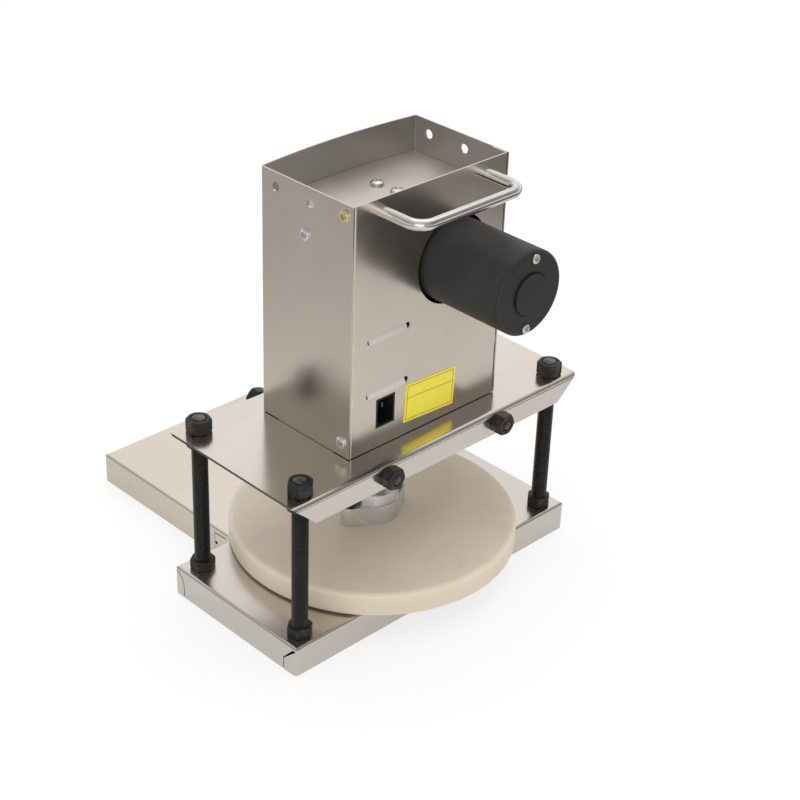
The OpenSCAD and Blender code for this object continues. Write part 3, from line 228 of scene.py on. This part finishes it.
STAINLESS = (0.750, 0.670, 0.582)
# darker grey for the inner faces: painted shade inside the housing
INNER_PAINTED_SHADE = (0.54, 0.525, 0.505)
# dark tone for the head plate's side edge
DARK_SIDE_EDGE = (0.16, 0.135, 0.12)
# paler tint for the louvre tongues: a painted highlight that makes them look brightly lit
LOUVRE_PAINTED_LIGHT = (0.74, 0.70, 0.64)
GRAIN_ALONG_X = (8, 260, 260)
GRAIN_LEVEL = (8, 8, 260)
LOUVRE_HEIGHTS = (186.7 * MM, 229.5 * MM)
LOUVRE_REACH = 3 * MM
LOUVRE_DEPTH = 0.02 * MM  # from here inwards a louvre counts as sunk
FRONT_BOW = 4.5 * MM


def scaled(tint, factor):
    """A colour made darker or lighter, with no channel above 1."""
    return tuple(min(c * factor, 1) for c in tint)


def patched(s, base, gloss, mask, tint, rough):
    """Colour and roughness with a patch of its own tint, at least as rough as given."""
    return s.mix(mask, base, tint), s.math("MAXIMUM", gloss, s.math("MULTIPLY", mask, rough))


def brushed_steel(name, tint, grain, rough, smear=0.06, cut_edge=None, louvres=(), inner=None):
    """Cold-rolled stainless sheet: fine grain lines, faint smears, cloudy patches and soft waves.

    grain holds the scales of the lines, lowest along them.
    cut_edge is the distance to the left and right beyond which the sheet is coloured dark and
    rough.
    louvres are the heights of pressed-in tongues, coloured paler and made less metallic there as a
    painted highlight, so that they look lit.
    inner makes a mask of the sheet's inner side, which gets a darker, duller grey as painted shade.
    """
    s = Shader(name)
    lines = s.noise(1, 1, 0.5, s.stretch(*grain))
    clouds = s.noise(9, 2, 0.5, distortion=0.4)
    smears = s.noise(20, 2, 0.5, s.stretch(1.0, 1.0, 0.45), distortion=0.6)
    waves = s.noise(7, 1, 0.4)
    tone = s.math("ADD", s.remap(lines, 0.3, 0.7, -0.014, 0.014),
                  s.remap(clouds, 0.3, 0.7, -0.05, 0.05))
    base = s.mix(s.remap(tone, -0.1, 0.1), scaled(tint, 0.93), scaled(tint, 1.05))
    gloss = s.math("ADD", s.remap(smears, 0.2, 0.8, rough - smear, rough + smear),
                   s.remap(lines, 0.2, 0.8, -0.008, 0.008))
    metal = 1.0
    # beyond cut_edge the sheet is coloured dark and rough
    if cut_edge:
        at_edge = s.math("GREATER_THAN", s.math("ABSOLUTE", s.split()[0]), cut_edge)
        base, gloss = patched(s, base, gloss, at_edge, DARK_SIDE_EDGE, 0.5)
    # painted shade: the inner faces are darkened to a dull grey
    if inner:
        base, gloss = patched(s, base, gloss, inner(s), INNER_PAINTED_SHADE, 0.31)
    # painted highlight: the sunk tongues get a paler, nearly non-metal finish so that they look
    # bright
    for height in louvres:
        _, y, z = s.split()
        off = s.math("ABSOLUTE", s.math("SUBTRACT", z, height))
        sunk = s.math("MULTIPLY", s.math("LESS_THAN", off, LOUVRE_REACH),
                      s.math("LESS_THAN", y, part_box("rear_panel")[1].y - LOUVRE_DEPTH))
        base, gloss = patched(s, base, gloss, sunk, LOUVRE_PAINTED_LIGHT, 0.55)
        metal = s.math("SUBTRACT", metal, s.math("MULTIPLY", sunk, 0.85))
    relief = s.bump(waves, 0.25, 0.0012)
    s.set(Base_Color=base, Metallic=metal, Roughness=gloss,
          Normal=s.bump(lines, 0.006, 0.0001, relief))
    return s.material


def inside_housing(s):
    """Mask of the housing's inner faces: inside both side walls and behind the bowed front."""
    low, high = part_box("housing_wrap")
    x, y, _ = s.split()
    across = s.math("ABSOLUTE", x)
    bulge = s.math("MULTIPLY", s.math("POWER", s.math("DIVIDE", across, high.x), 2.0), FRONT_BOW)
    front = s.math("ADD", bulge, low.y + HALF_SHEET)
    return s.math("MULTIPLY", s.math("LESS_THAN", across, high.x - HALF_SHEET),
                  s.math("GREATER_THAN", y, front))


def inside_panel(s):
    """Mask of the rear panel's inner face and its side flanges."""
    return s.math("LESS_THAN", s.split()[1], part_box("rear_panel")[1].y - HALF_SHEET)


def plain_metal(name, tint, rough, grain=600, bump=0.02, patches=0.06):
    """Bright or dull metal of small parts, with fine machining marks and slightly uneven tone."""
    s = Shader(name)
    fine = s.noise(grain, 3, 0.6)
    broad = s.noise(60, 2, 0.5)
    s.set(Base_Color=s.mix(s.remap(broad, 0.35, 0.65), scaled(tint, 1 - patches), tint),
          Metallic=1.0, Roughness=s.remap(fine, 0.3, 0.7, rough * 0.8, rough * 1.25),
          Normal=s.bump(fine, bump, 0.0003))
    return s.material


def black_oxide(name, wear_level=0.050, rough=0.46, shine=0.5):
    """Blackened steel: nearly black, with greyer worn patches and a fine grain."""
    s = Shader(name)
    grain = s.noise(900, 3, 0.6)
    wear = s.noise(140, 4, 0.65)
    s.set(Base_Color=s.mix(s.remap(wear, 0.50, 0.75), (0.014, 0.013, 0.013), (wear_level,) * 3),
          Metallic=0.25, Roughness=s.remap(wear, 0.35, 0.7, rough * 1.2, rough * 0.85),
          Specular_IOR_Level=shine, Normal=s.bump(grain, 0.12, 0.0003))
    return s.material


def press_plastic(name):
    """Waxy ivory plastic: faint clouding, fine marks, a few darker stains, and a paler rim that is
    a painted highlight.
    """
    s = Shader(name)
    clouds = s.noise(14, 4, 0.55, distortion=0.4)
    stains = s.noise(34, 5, 0.7, distortion=1.5)
    fine = s.noise(700, 2, 0.5)
    low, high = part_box("press_disc")
    radius = (high.x - low.x) / 2
    x, y, _ = s.split()
    dx = s.math("SUBTRACT", x, (low.x + high.x) / 2)
    dy = s.math("SUBTRACT", y, (low.y + high.y) / 2)
    squares = s.math("ADD", s.math("MULTIPLY", dx, dx), s.math("MULTIPLY", dy, dy))
    # painted highlight: the rim is coloured paler so that it looks lit from the side
    rim = s.remap(s.math("POWER", squares, 0.5), radius - 1.5 * MM, radius - 0.3 * MM, 0.0, 0.5)
    base = s.mix(s.remap(clouds, 0.35, 0.68), (0.660, 0.565, 0.440), (0.735, 0.650, 0.530))
    base = s.mix(s.remap(stains, 0.62, 0.78, 0.0, 0.30), base, (0.50, 0.43, 0.31))
    base = s.mix(rim, base, (0.800, 0.700, 0.565))
    s.set(Base_Color=base, Roughness=s.remap(clouds, 0.3, 0.7, 0.42, 0.52),
          Normal=s.bump(fine, 0.03, 0.0003),
          Subsurface_Weight=0.6, Subsurface_Radius=(0.010, 0.007, 0.0045), Subsurface_Scale=1.0)
    return s.material


def motor_paint(name, depth=1.0):
    """Charcoal powder coat with a fine leathery texture; a depth below 1 darkens it as painted
    shade.
    """
    s = Shader(name)
    pebble = s.cells(900)
    grain = s.noise(1500, 3, 0.6)
    rise = s.math("ADD", pebble, s.math("MULTIPLY", grain, 0.5))
    tone = s.noise(40, 3, 0.5)
    s.set(Base_Color=s.mix(s.remap(tone, 0.35, 0.65), (0.020 * depth,) * 3, (0.027 * depth,) * 3),
          Roughness=s.remap(grain, 0.3, 0.7, 0.50, 0.62), Normal=s.bump(rise, 0.10, 0.0004))
    return s.material


def plastic(name, tint, rough=0.4, grain=500, bump=0.05):
    """Moulded plastic with a faint eroded texture."""
    s = Shader(name)
    fine = s.noise(grain, 3, 0.6)
    tone = s.noise(50, 2, 0.5)
    s.set(Base_Color=s.mix(s.remap(tone, 0.35, 0.65), scaled(tint, 0.9), tint),
          Roughness=s.remap(fine, 0.3, 0.7, rough * 0.85, rough * 1.15),
          Normal=s.bump(fine, bump, 0.0003))
    return s.material


def cast_alloy(name):
    """Bead-blasted aluminium casting with brighter rubbed patches."""
    s = Shader(name)
    pits = s.noise(1100, 4, 0.7)
    rub = s.noise(45, 3, 0.6, distortion=0.8)
    s.set(Base_Color=s.mix(s.remap(rub, 0.4, 0.65), (0.72, 0.72, 0.73), (0.86, 0.86, 0.86)),
          Metallic=1.0, Roughness=s.remap(rub, 0.4, 0.65, 0.38, 0.30),
          Normal=s.bump(pits, 0.06, 0.0003))
    return s.material


def board_lacquer(name):
    """Green circuit board with traces under the lacquer."""
    s = Shader(name)
    traces = s.cells(160, s.stretch(1, 1, 0.5), "DISTANCE_TO_EDGE")
    s.set(Base_Color=s.mix(s.remap(traces, 0.02, 0.05), (0.045, 0.22, 0.09), (0.015, 0.10, 0.045)),
          Roughness=0.3, Normal=s.bump(traces, 0.1, 0.0002))
    return s.material


STICKER_TILT = math.radians(3.0)
STICKER_FRAME = (0.0230, 0.0133)  # half its width and half its height
STICKER_LINE = 0.00022  # half a line's width
STICKER_BAR = 0.0040  # how far over the middle the dividing line is


def sticker_film(name):
    """Plain yellow film with a thin dark frame and one dividing line, and nothing written on it."""
    s = Shader(name)
    low, high = box_mm("sticker")
    cos, sin = math.cos(STICKER_TILT), math.sin(STICKER_TILT)
    half_w, half_h = STICKER_FRAME
    x, _, z = s.split()
    dx = s.math("SUBTRACT", x, (low.x + high.x) / 2 * MM)
    dz = s.math("SUBTRACT", z, (low.z + high.z) / 2 * MM)
    u = s.math("ADD", s.math("MULTIPLY", dx, cos), s.math("MULTIPLY", dz, sin))
    v = s.math("SUBTRACT", s.math("MULTIPLY", dz, cos), s.math("MULTIPLY", dx, sin))
    past_frame = s.math("MAXIMUM", s.math("SUBTRACT", s.math("ABSOLUTE", u), half_w),
                        s.math("SUBTRACT", s.math("ABSOLUTE", v), half_h))
    off_bar = s.math("ABSOLUTE", s.math("SUBTRACT", v, STICKER_BAR))
    bar = s.math("MULTIPLY", s.math("LESS_THAN", off_bar, STICKER_LINE),
                 s.math("LESS_THAN", past_frame, 0))
    border = s.math("LESS_THAN", s.math("ABSOLUTE", past_frame), STICKER_LINE)
    mark = s.math("MAXIMUM", border, bar)
    tone = s.remap(s.noise(300, 3, 0.6), 0.3, 0.7)
    yellow = s.mix(tone, (0.900, 0.760, 0.050), (0.950, 0.810, 0.070))
    s.set(Base_Color=s.mix(mark, yellow, (0.05, 0.045, 0.02)), Roughness=0.32)
    return s.material


MATERIALS = {
    "stainless": lambda: brushed_steel("stainless_sheet", STAINLESS, GRAIN_ALONG_X, 0.26),
    "head_stainless": lambda: brushed_steel(
        "stainless_plate", (0.750, 0.695, 0.635), GRAIN_ALONG_X, 0.20, 0.05,
        cut_edge=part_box("head_plate")[1].x - 0.05 * MM),
    "black_steel": lambda: black_oxide("blackened_steel"),
    "bright_screw": lambda: plain_metal("bright_zinc", (0.74, 0.73, 0.70), 0.20),
    "brass_screw": lambda: plain_metal("yellow_zinc", (0.72, 0.62, 0.40), 0.24),
    "polished_rod": lambda: plain_metal("polished_stainless", (0.74, 0.72, 0.69), 0.16, 300),
    "motor_paint": lambda: motor_paint("charcoal_powder_coat"),
    "cast_alloy": lambda: cast_alloy("cast_aluminium"),
    "gearbox_alloy": lambda: plain_metal("die_cast", (0.58, 0.58, 0.58), 0.42, 500, 0.12),
    "gear_steel": lambda: plain_metal("machined_steel", (0.52, 0.52, 0.53), 0.26),
    "gear_brass": lambda: plain_metal("machined_brass", (0.66, 0.50, 0.24), 0.25),
    "bronze": lambda: plain_metal("sintered_bronze", (0.48, 0.33, 0.18), 0.40, 900, 0.10),
    "frame_steel": lambda: plain_metal("zinc_plate", (0.50, 0.52, 0.53), 0.36, 300, 0.06, 0.15),
    "ivory_plate": lambda: press_plastic("ivory_press_plate"),
    "black_plastic": lambda: plastic("black_moulding", (0.008, 0.008, 0.008), 0.5),
    "block_plastic": lambda: plastic("hard_block", (0.03, 0.03, 0.03), 0.6),
    "board_green": lambda: board_lacquer("circuit_board"),
    "sticker_yellow": lambda: sticker_film("blank_sticker_film"),
    "button_green": lambda: plastic("green_button", (0.012, 0.22, 0.06), 0.22, 300, 0.02),
    "rocker_red": lambda: plastic("red_rocker", (0.42, 0.014, 0.010), 0.24, 300, 0.02),
}
made = {}


def finish_of(slot):
    """The material of a record slot, made once."""
    if slot not in made:
        made[slot] = MATERIALS[slot]()
    return made[slot]


def dress_frame():
    """Gives every CAD node the finish of its slot."""
    for row in frame["record"]["subparts"]:
        node = NODES[row["node"]]
        node.data.materials.clear()
        node.data.materials.append(finish_of(row["material_slot"]))


def dress_specials():
    """Gives some CAD nodes a finish of their own in place of their slot's."""
    specials = {
        "base_frame": brushed_steel("base_sheet", (0.700, 0.655, 0.605), GRAIN_ALONG_X, 0.24, 0.05),
        # the inner faces of the wrap and of the rear panel get painted shade
        "housing_wrap": brushed_steel("wrap_sheet", STAINLESS, GRAIN_LEVEL, 0.26,
                                      inner=inside_housing),
        "rear_panel": brushed_steel("rear_sheet", STAINLESS, GRAIN_ALONG_X, 0.26,
                                    louvres=LOUVRE_HEIGHTS, inner=inside_panel),
        "ram": plain_metal("ground_steel", (0.62, 0.62, 0.62), 0.20, 300, 0.01),
        # painted shade: the end cap is a darker copy of the motor's coat
        "motor_end_cap": motor_paint("end_cap_shaded_coat", 0.7),
        "top_cover": brushed_steel("cover_sheet", (0.775, 0.708, 0.668), GRAIN_ALONG_X, 0.46),
    }
    for node, material in specials.items():
        NODES[node].data.materials[0] = material


def round_edges(node, width):
    """Rounds the sharp edges of a CAD node with modifiers, so that they catch light."""
    item = NODES[node]
    weld = item.modifiers.new("weld", "WELD")
    weld.merge_threshold = 1e-6
    bevel = item.modifiers.new("edge", "BEVEL")
    bevel.width = width * MM
    bevel.segments = 3
    bevel.limit_method = "ANGLE"
    bevel.angle_limit = math.radians(35)
    bevel.harden_normals = True


# Meshes, drawn in millimetres

def add_piece(name, bm, slot, body, smooth):
    """Turns a bmesh into a piece on a body, smooth where faces meet within so many degrees."""
    bmesh.ops.scale(bm, vec=(MM, MM, MM), verts=bm.verts)
    bmesh.ops.recalc_face_normals(bm, faces=bm.faces)
    limit = math.radians(smooth)
    for face in bm.faces:
        face.smooth = True
    for edge in bm.edges:
        if len(edge.link_faces) == 2 and edge.calc_face_angle(0) > limit:
            edge.smooth = False
    mesh = bpy.data.meshes.new(name)
    bm.to_mesh(mesh)
    bm.free()
    mesh.materials.append(finish_of(slot))
    item = put_in_scene(name, mesh)
    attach(item, body)
    return item


def joined(parts):
    """One bmesh made of several, which are used up."""
    whole = bmesh.new()
    for part in parts:
        mesh = bpy.data.meshes.new("part")
        part.to_mesh(mesh)
        part.free()
        whole.from_mesh(mesh)
        bpy.data.meshes.remove(mesh)
    return whole


def moved(bm, spot, turn=None):
    """Places a bmesh: the turn first, then the shift."""
    matrix = Matrix.Translation(spot) @ (turn.to_4x4() if turn else Matrix.Identity(4))
    bmesh.ops.transform(bm, matrix=matrix, verts=bm.verts)
    return bm


def arc(cx, cz, r, start, end, steps):
    """Points of an arc in a lathe profile, angles in degrees."""
    angles = [math.radians(start + (end - start) * i / steps) for i in range(steps + 1)]
    return [(cx + r * math.cos(a), cz + r * math.sin(a)) for a in angles]


def round_point(r, step, segments):
    """X and y at a radius, so many steps round the circle."""
    angle = TAU * step / segments
    return r * math.cos(angle), r * math.sin(angle)


def skin(bm, rings, segments):
    """Faces from each ring of vertices to the next. A ring may be a single vertex."""
    for a, b in zip(rings, rings[1:]):
        for i in range(segments):
            corners = [a[i % len(a)], a[(i + 1) % len(a)], b[(i + 1) % len(b)], b[i % len(b)]]
            unique = list(dict.fromkeys(corners))
            if len(unique) > 2:
                bm.faces.new(unique)


def lathe(profile, segments):
    """A solid of revolution about Z from (radius, height) points, closed on the axis."""
    bm = bmesh.new()
    rings = []
    for r, z in profile:
        if r < 1e-6:
            rings.append([bm.verts.new((0, 0, z))])
        else:
            rings.append([bm.verts.new((*round_point(r, i, segments), z)) for i in range(segments)])
    skin(bm, rings, segments)
    return bm


THREAD_PITCH = 1.75
THREAD_DEPTH = 0.6 * THREAD_PITCH
THREAD_FORM = [(0.0, 0.0), (0.16, 0.0), (0.5, 1.0), (0.66, 1.0)]  # shares of pitch and of depth
ROD_CHAMFER = 1.2
ROD_SEGMENTS = 40


def threaded_rod(radius, low, high):
    """A rod along Z with a true helical thread and chamfered ends."""
    segments = ROD_SEGMENTS
    count = int((high - low) / THREAD_PITCH * segments) + 2 * segments
    bm = bmesh.new()
    rows = []
    for step in range(count):
        row = []
        for along, rise in THREAD_FORM:
            z = low - THREAD_PITCH + THREAD_PITCH * (step / segments + along)
            z = min(max(z, low), high)
            r = radius - THREAD_DEPTH * (1 - rise)
            r = min(r, radius - ROD_CHAMFER + z - low, radius - ROD_CHAMFER + high - z)
            row.append(bm.verts.new((*round_point(r, step, segments), z)))
        rows.append(row)
    for a, b in zip(rows, rows[1:]):
        for j in range(len(THREAD_FORM) - 1):
            bm.faces.new((a[j], b[j], b[j + 1], a[j + 1]))
    for step in range(count - segments - 1):
        turn_later = step + segments
        bm.faces.new((rows[step][-1], rows[step + 1][-1], rows[turn_later + 1][0],
                      rows[turn_later][0]))
    bmesh.ops.remove_doubles(bm, verts=bm.verts, dist=1e-4)
    bmesh.ops.dissolve_degenerate(bm, edges=bm.edges, dist=1e-4)
    rim = [edge for edge in bm.edges if len(edge.link_faces) == 1]
    bmesh.ops.holes_fill(bm, edges=rim, sides=0)
    return bm


HEAD_RINGS = 22
HEAD_SEGMENTS = 72
RIM_HEIGHT = 0.34  # share of the head's height
DOME_POWER = 2.4
CROSS_SPAN = 0.46  # share of the head's diameter
CROSS_RUNOUT = 1.15
CROSS_ARM = 0.075  # half an arm's width, as a share of the head's diameter
CROSS_DEPTH = 0.62  # share of the head's height
CROSS_TAPER = 0.35


def pan_head(diameter, height):
    """A domed screw head with a cross recess, standing on z = 0."""
    radius = diameter / 2
    rim = height * RIM_HEIGHT
    arm = diameter * CROSS_ARM
    reach = diameter * CROSS_SPAN / 2 * CROSS_RUNOUT

    def top(x, y):
        """Height of the dome at a point, less the depth of the cross there."""
        r = math.hypot(x, y)
        z = rim + (height - rim) * math.sqrt(max(0.0, 1 - (r / radius) ** DOME_POWER))
        long, short = max(abs(x), abs(y)), min(abs(x), abs(y))
        inside = min((reach - long) / 0.25, (arm - short + 0.18 * (1 - long / reach)) / 0.16)
        fall = min(max(inside, 0.0), 1.0)
        return z - fall * height * CROSS_DEPTH * (1 - CROSS_TAPER * r / reach)

    def ring_radius(i):
        """Even steps where the cross is, and closer ones towards the steep rim."""
        if i > HEAD_RINGS * 0.7:
            return radius * math.sin(math.pi / 2 * i / HEAD_RINGS)
        return radius * i / HEAD_RINGS * 1.27

    bm = bmesh.new()
    rings = [[bm.verts.new((0, 0, top(0, 0)))]]
    for i in range(1, HEAD_RINGS + 1):
        r = min(ring_radius(i), radius)
        spots = [round_point(r, k, HEAD_SEGMENTS) for k in range(HEAD_SEGMENTS)]
        rings.append([bm.verts.new((x, y, top(x, y))) for x, y in spots])
    foot = [round_point(radius, k, HEAD_SEGMENTS) for k in range(HEAD_SEGMENTS)]
    rings.append([bm.verts.new((x, y, 0)) for x, y in foot])
    skin(bm, rings, HEAD_SEGMENTS)
    bm.faces.new(rings[-1])
    bmesh.ops.remove_doubles(bm, verts=bm.verts, dist=1e-5)
    return bm


# The pieces

def make_rods():
    """Threaded columns and tie rods, in place of the plain ones."""
    finish = black_oxide("blackened_thread", 0.026, 0.26, 1.0)
    columns = [("column_" + side, 2, None)
               for side in ("front_left", "front_right", "rear_left", "rear_right")]
    along_y = Matrix.Rotation(-math.pi / 2, 3, "X")
    tie_rods = [("tie_rod_" + side, 1, along_y) for side in ("left", "right")]
    for node, axis, turn in columns + tie_rods:
        low, high = box_mm(node)
        spot = [(low[k] + high[k]) / 2 for k in range(3)]
        spot[axis] = 0
        bm = moved(threaded_rod((high.x - low.x) / 2, low[axis], high[axis]), spot, turn)
        piece = add_piece("threaded_" + node, bm, "black_steel", "stand", smooth=50)
        piece.data.materials[0] = finish
        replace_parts(piece, node)


def islands(node):
    """Lowest and highest corner, in millimetres, of each separate solid of a CAD node."""
    bm = bmesh.new()
    bm.from_mesh(NODES[node].data)
    bmesh.ops.remove_doubles(bm, verts=bm.verts, dist=1e-6)
    left = set(bm.verts)
    found = []
    while left:
        stack = [left.pop()]
        group = []
        while stack:
            vert = stack.pop()
            group.append(vert.co / MM)
            for edge in vert.link_edges:
                other = edge.other_vert(vert)
                if other in left:
                    left.remove(other)
                    stack.append(other)
        found.append((Vector(map(min, zip(*group))), Vector(map(max, zip(*group)))))
    bm.free()
    return sorted(found, key=lambda pair: tuple(round(v, 3) for v in pair[0]))


HEAD_HEIGHT = 0.30  # share of the head's diameter
SHANK_RADIUS = 0.27  # share of the head's diameter
SHANK_SEGMENTS = 24


def screw_set(node, axis, slot):
    """Domed cross-head screws on the places of a CAD node's screws, which lie along one axis."""
    heads = []
    for i, (low, high) in enumerate(islands(node)):
        spot = list((low + high) / 2)
        size = high - low
        diameter = min(size[k] for k in range(3) if k != axis)
        head_h = diameter * HEAD_HEIGHT
        shank = size[axis] - head_h
        shank_r = diameter * SHANK_RADIUS
        outward = 1 if spot[axis] > 0 else -1
        spot[axis] = high[axis] - head_h if outward > 0 else low[axis] + head_h
        turn = {0: Matrix.Rotation(outward * math.pi / 2, 3, "Y"),
                1: Matrix.Rotation(-outward * math.pi / 2, 3, "X"),
                2: Matrix.Rotation(0 if outward > 0 else math.pi, 3, "X")}[axis]
        spin = Matrix.Rotation(0.7 + 1.3 * i, 3, "Z")  # no two crosses stand alike
        profile = [(0, 0), (shank_r, 0), (shank_r, -shank), (0, -shank)]
        screw = joined([pan_head(diameter, head_h), lathe(profile, SHANK_SEGMENTS)])
        heads.append(moved(screw, spot, turn @ spin))
    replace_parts(add_piece("dressed_" + node, joined(heads), slot, "stand", smooth=30), node)


def make_screws():
    """The screws that show their heads: sides, cover and motor."""
    screw_set("housing_screws", 0, "bright_screw")
    screw_set("brass_screws", 0, "brass_screw")
    screw_set("cover_screws", 2, "bright_screw")
    screw_set("motor_screws", 1, "bright_screw")


def make_press_disc():
    """The ivory plate with a rounded top edge and a nearly sharp foot."""
    top_round = 4.0
    foot_round = 0.5
    top_rings = 12
    segments = 256
    low, high = box_mm("press_disc")
    middle = (low + high) / 2
    r = (high.x - low.x) / 2
    h = high.z - low.z
    profile = [(0, 0), (r * 0.5, 0)]
    profile += arc(r - foot_round, foot_round, foot_round, -90, 0, 5)
    profile += arc(r - top_round, h - top_round, top_round, 0, 90, 10)
    profile += [(r * k / top_rings, h) for k in range(top_rings - 1, 0, -1)] + [(0, h)]
    bm = moved(lathe(profile, segments), (middle.x, middle.y, low.z))
    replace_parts(add_piece("press_plate", bm, "ivory_plate", "press_ram", smooth=60), "press_disc")


# The stage

FLOOR_HALF = 6.0
FLOOR_Z = -0.0002
FLOOR_LIT = 0.32  # share of the light on it that the floor gives back, to the eye and in mirrors
FLOOR_WHITE = 1.02  # how bright it is to the eye, where nothing shades it
FLOOR_PLAIN = 0.80  # share that it gives back as light on the object
TRAY_INSET = 3 * MM
ROOM_LIGHT = 0.95
LAMPS = [  # name, place, size and power
    ("key", (-0.50, -0.20, 1.60), 1.1, 2.5),
    ("fill", (1.30, 1.10, 0.75), 1.3, 4.0),
]


def make_stage():
    """Pale floor and soft studio light."""
    bm = bmesh.new()
    corners = [(-FLOOR_HALF, -FLOOR_HALF), (FLOOR_HALF, -FLOOR_HALF),
               (FLOOR_HALF, FLOOR_HALF), (-FLOOR_HALF, FLOOR_HALF)]
    bm.faces.new([bm.verts.new((x, y, FLOOR_Z)) for x, y in corners])
    mesh = bpy.data.meshes.new("floor")
    bm.to_mesh(mesh)
    bm.free()
    mesh.materials.append(floor_material())
    floor = put_in_scene("floor", mesh)
    for name, place, size, power in LAMPS:
        data = bpy.data.lights.new(name, "AREA")
        data.shape = "SQUARE"
        data.size = size
        data.energy = power
        lamp = put_in_scene(name, data)
        lamp.location = place
        lamp.rotation_euler = (TARGET - Vector(place)).to_track_quat("-Z", "Y").to_euler()
    make_world()


def under_the_trays(s, x, y):
    """Mask of the floor under the base and the table, a little inside their walls."""
    under = 0.0
    for node in ("base_frame", "front_table"):
        low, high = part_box(node)
        x_in = s.math("LESS_THAN", s.math("ABSOLUTE", x), high.x - TRAY_INSET)
        y_in = s.math("COMPARE", y, (low.y + high.y) / 2, (high.y - low.y) / 2 - TRAY_INSET)
        under = s.math("MAXIMUM", s.math("MULTIPLY", x_in, y_in), under)
    return under


def floor_material():
    """White paper: white to the eye, and in reflections grey, in steps off to both sides.

    The steps are matched by tone to what the steel in the photograph mirrors.
    left and behind are distances from the middle, as the photograph shows them.
    """
    s = Shader("pale_floor")
    s.tree.nodes.remove(s.bsdf)
    camera, seen = s.ray_masks()
    x, y, _ = s.split()
    left = s.math("MULTIPLY", s.math("SUBTRACT", x, y), math.sqrt(0.5))
    behind = s.math("MULTIPLY", s.math("ADD", x, y), -math.sqrt(0.5))
    tone = s.remap(left, 0.20, 0.62, 0.80, 0.43)
    tone = s.math("MULTIPLY", tone, s.remap(left, -0.12, -0.95, 1.0, 0.72))
    tone = s.math("MULTIPLY", tone, s.remap(left, -0.64, -0.69, 1.0, 0.23))
    tone = s.math("ADD", tone, s.remap(behind, 0.25, 0.60, 0.0, 0.25))
    brightest = s.math("MAXIMUM", s.math("MULTIPLY", camera, FLOOR_WHITE), tone)
    open_air = s.math("SUBTRACT", 1.0, under_the_trays(s, x, y))
    level = s.math("MULTIPLY", s.math("SUBTRACT", brightest, FLOOR_LIT), open_air)
    shade = s.shader("ShaderNodeBsdfDiffuse", Color=(FLOOR_LIT,) * 3)
    glow = s.shader("ShaderNodeEmission", Strength=level)
    shown = s.join("ShaderNodeAddShader", shade, glow)
    plain = s.shader("ShaderNodeBsdfDiffuse", Color=(FLOOR_PLAIN,) * 3)
    s.link(s.join("ShaderNodeMixShader", seen, plain, shown), s.out.inputs["Surface"])
    return s.material


def make_world():
    """A white room with plain level light, dimmer off to both sides where steel mirrors it."""
    world = bpy.data.worlds.new("studio")
    bpy.context.scene.world = world
    world.use_nodes = True
    g = Graph(world.node_tree)
    out = g.add("ShaderNodeOutputWorld")
    coord = g.add("ShaderNodeTexCoord")

    def towards(x, y, z):
        """How far a direction points towards another."""
        node = g.add("ShaderNodeVectorMath")
        node.operation = "DOT_PRODUCT"
        g.link(coord.outputs["Generated"], node.inputs[0])
        node.inputs[1].default_value = (x, y, z)
        return node.outputs["Value"]

    camera, seen = g.ray_masks()
    away = towards(-0.707, -0.707, 0)
    motor_side = towards(-0.707, 0.707, 0)
    height = towards(0, 0, 1)
    tone = g.math("ADD", g.math("MULTIPLY", away, 0.24), 0.78)
    sides = g.math("POWER", g.math("ABSOLUTE", motor_side), 2.0)
    dimming = g.math("MULTIPLY", sides, g.remap(height, 0.08, 0.42, -0.16, 0.62))
    tone = g.math("SUBTRACT", tone, dimming)
    more = g.math("MULTIPLY", g.math("MAXIMUM", motor_side, 0), g.math("MULTIPLY", height, 0.3))
    tone = g.math("MAXIMUM", g.math("SUBTRACT", tone, more), 0.02)
    white = (1, 1, 1)
    shown = g.shader("ShaderNodeBackground", Color=white, Strength=g.math("MAXIMUM", tone, camera))
    light = g.shader("ShaderNodeBackground", Color=white, Strength=ROOM_LIGHT)
    g.link(g.join("ShaderNodeMixShader", seen, light, shown), out.inputs["Surface"])


make_camera()
dress_frame()
make_rods()
make_screws()
make_press_disc()
dress_specials()
round_edges("plate_flange", 0.8)
round_edges("inlet_pins", 0.5)
make_stage()
bpy.context.scene.view_settings.view_transform = "Standard"
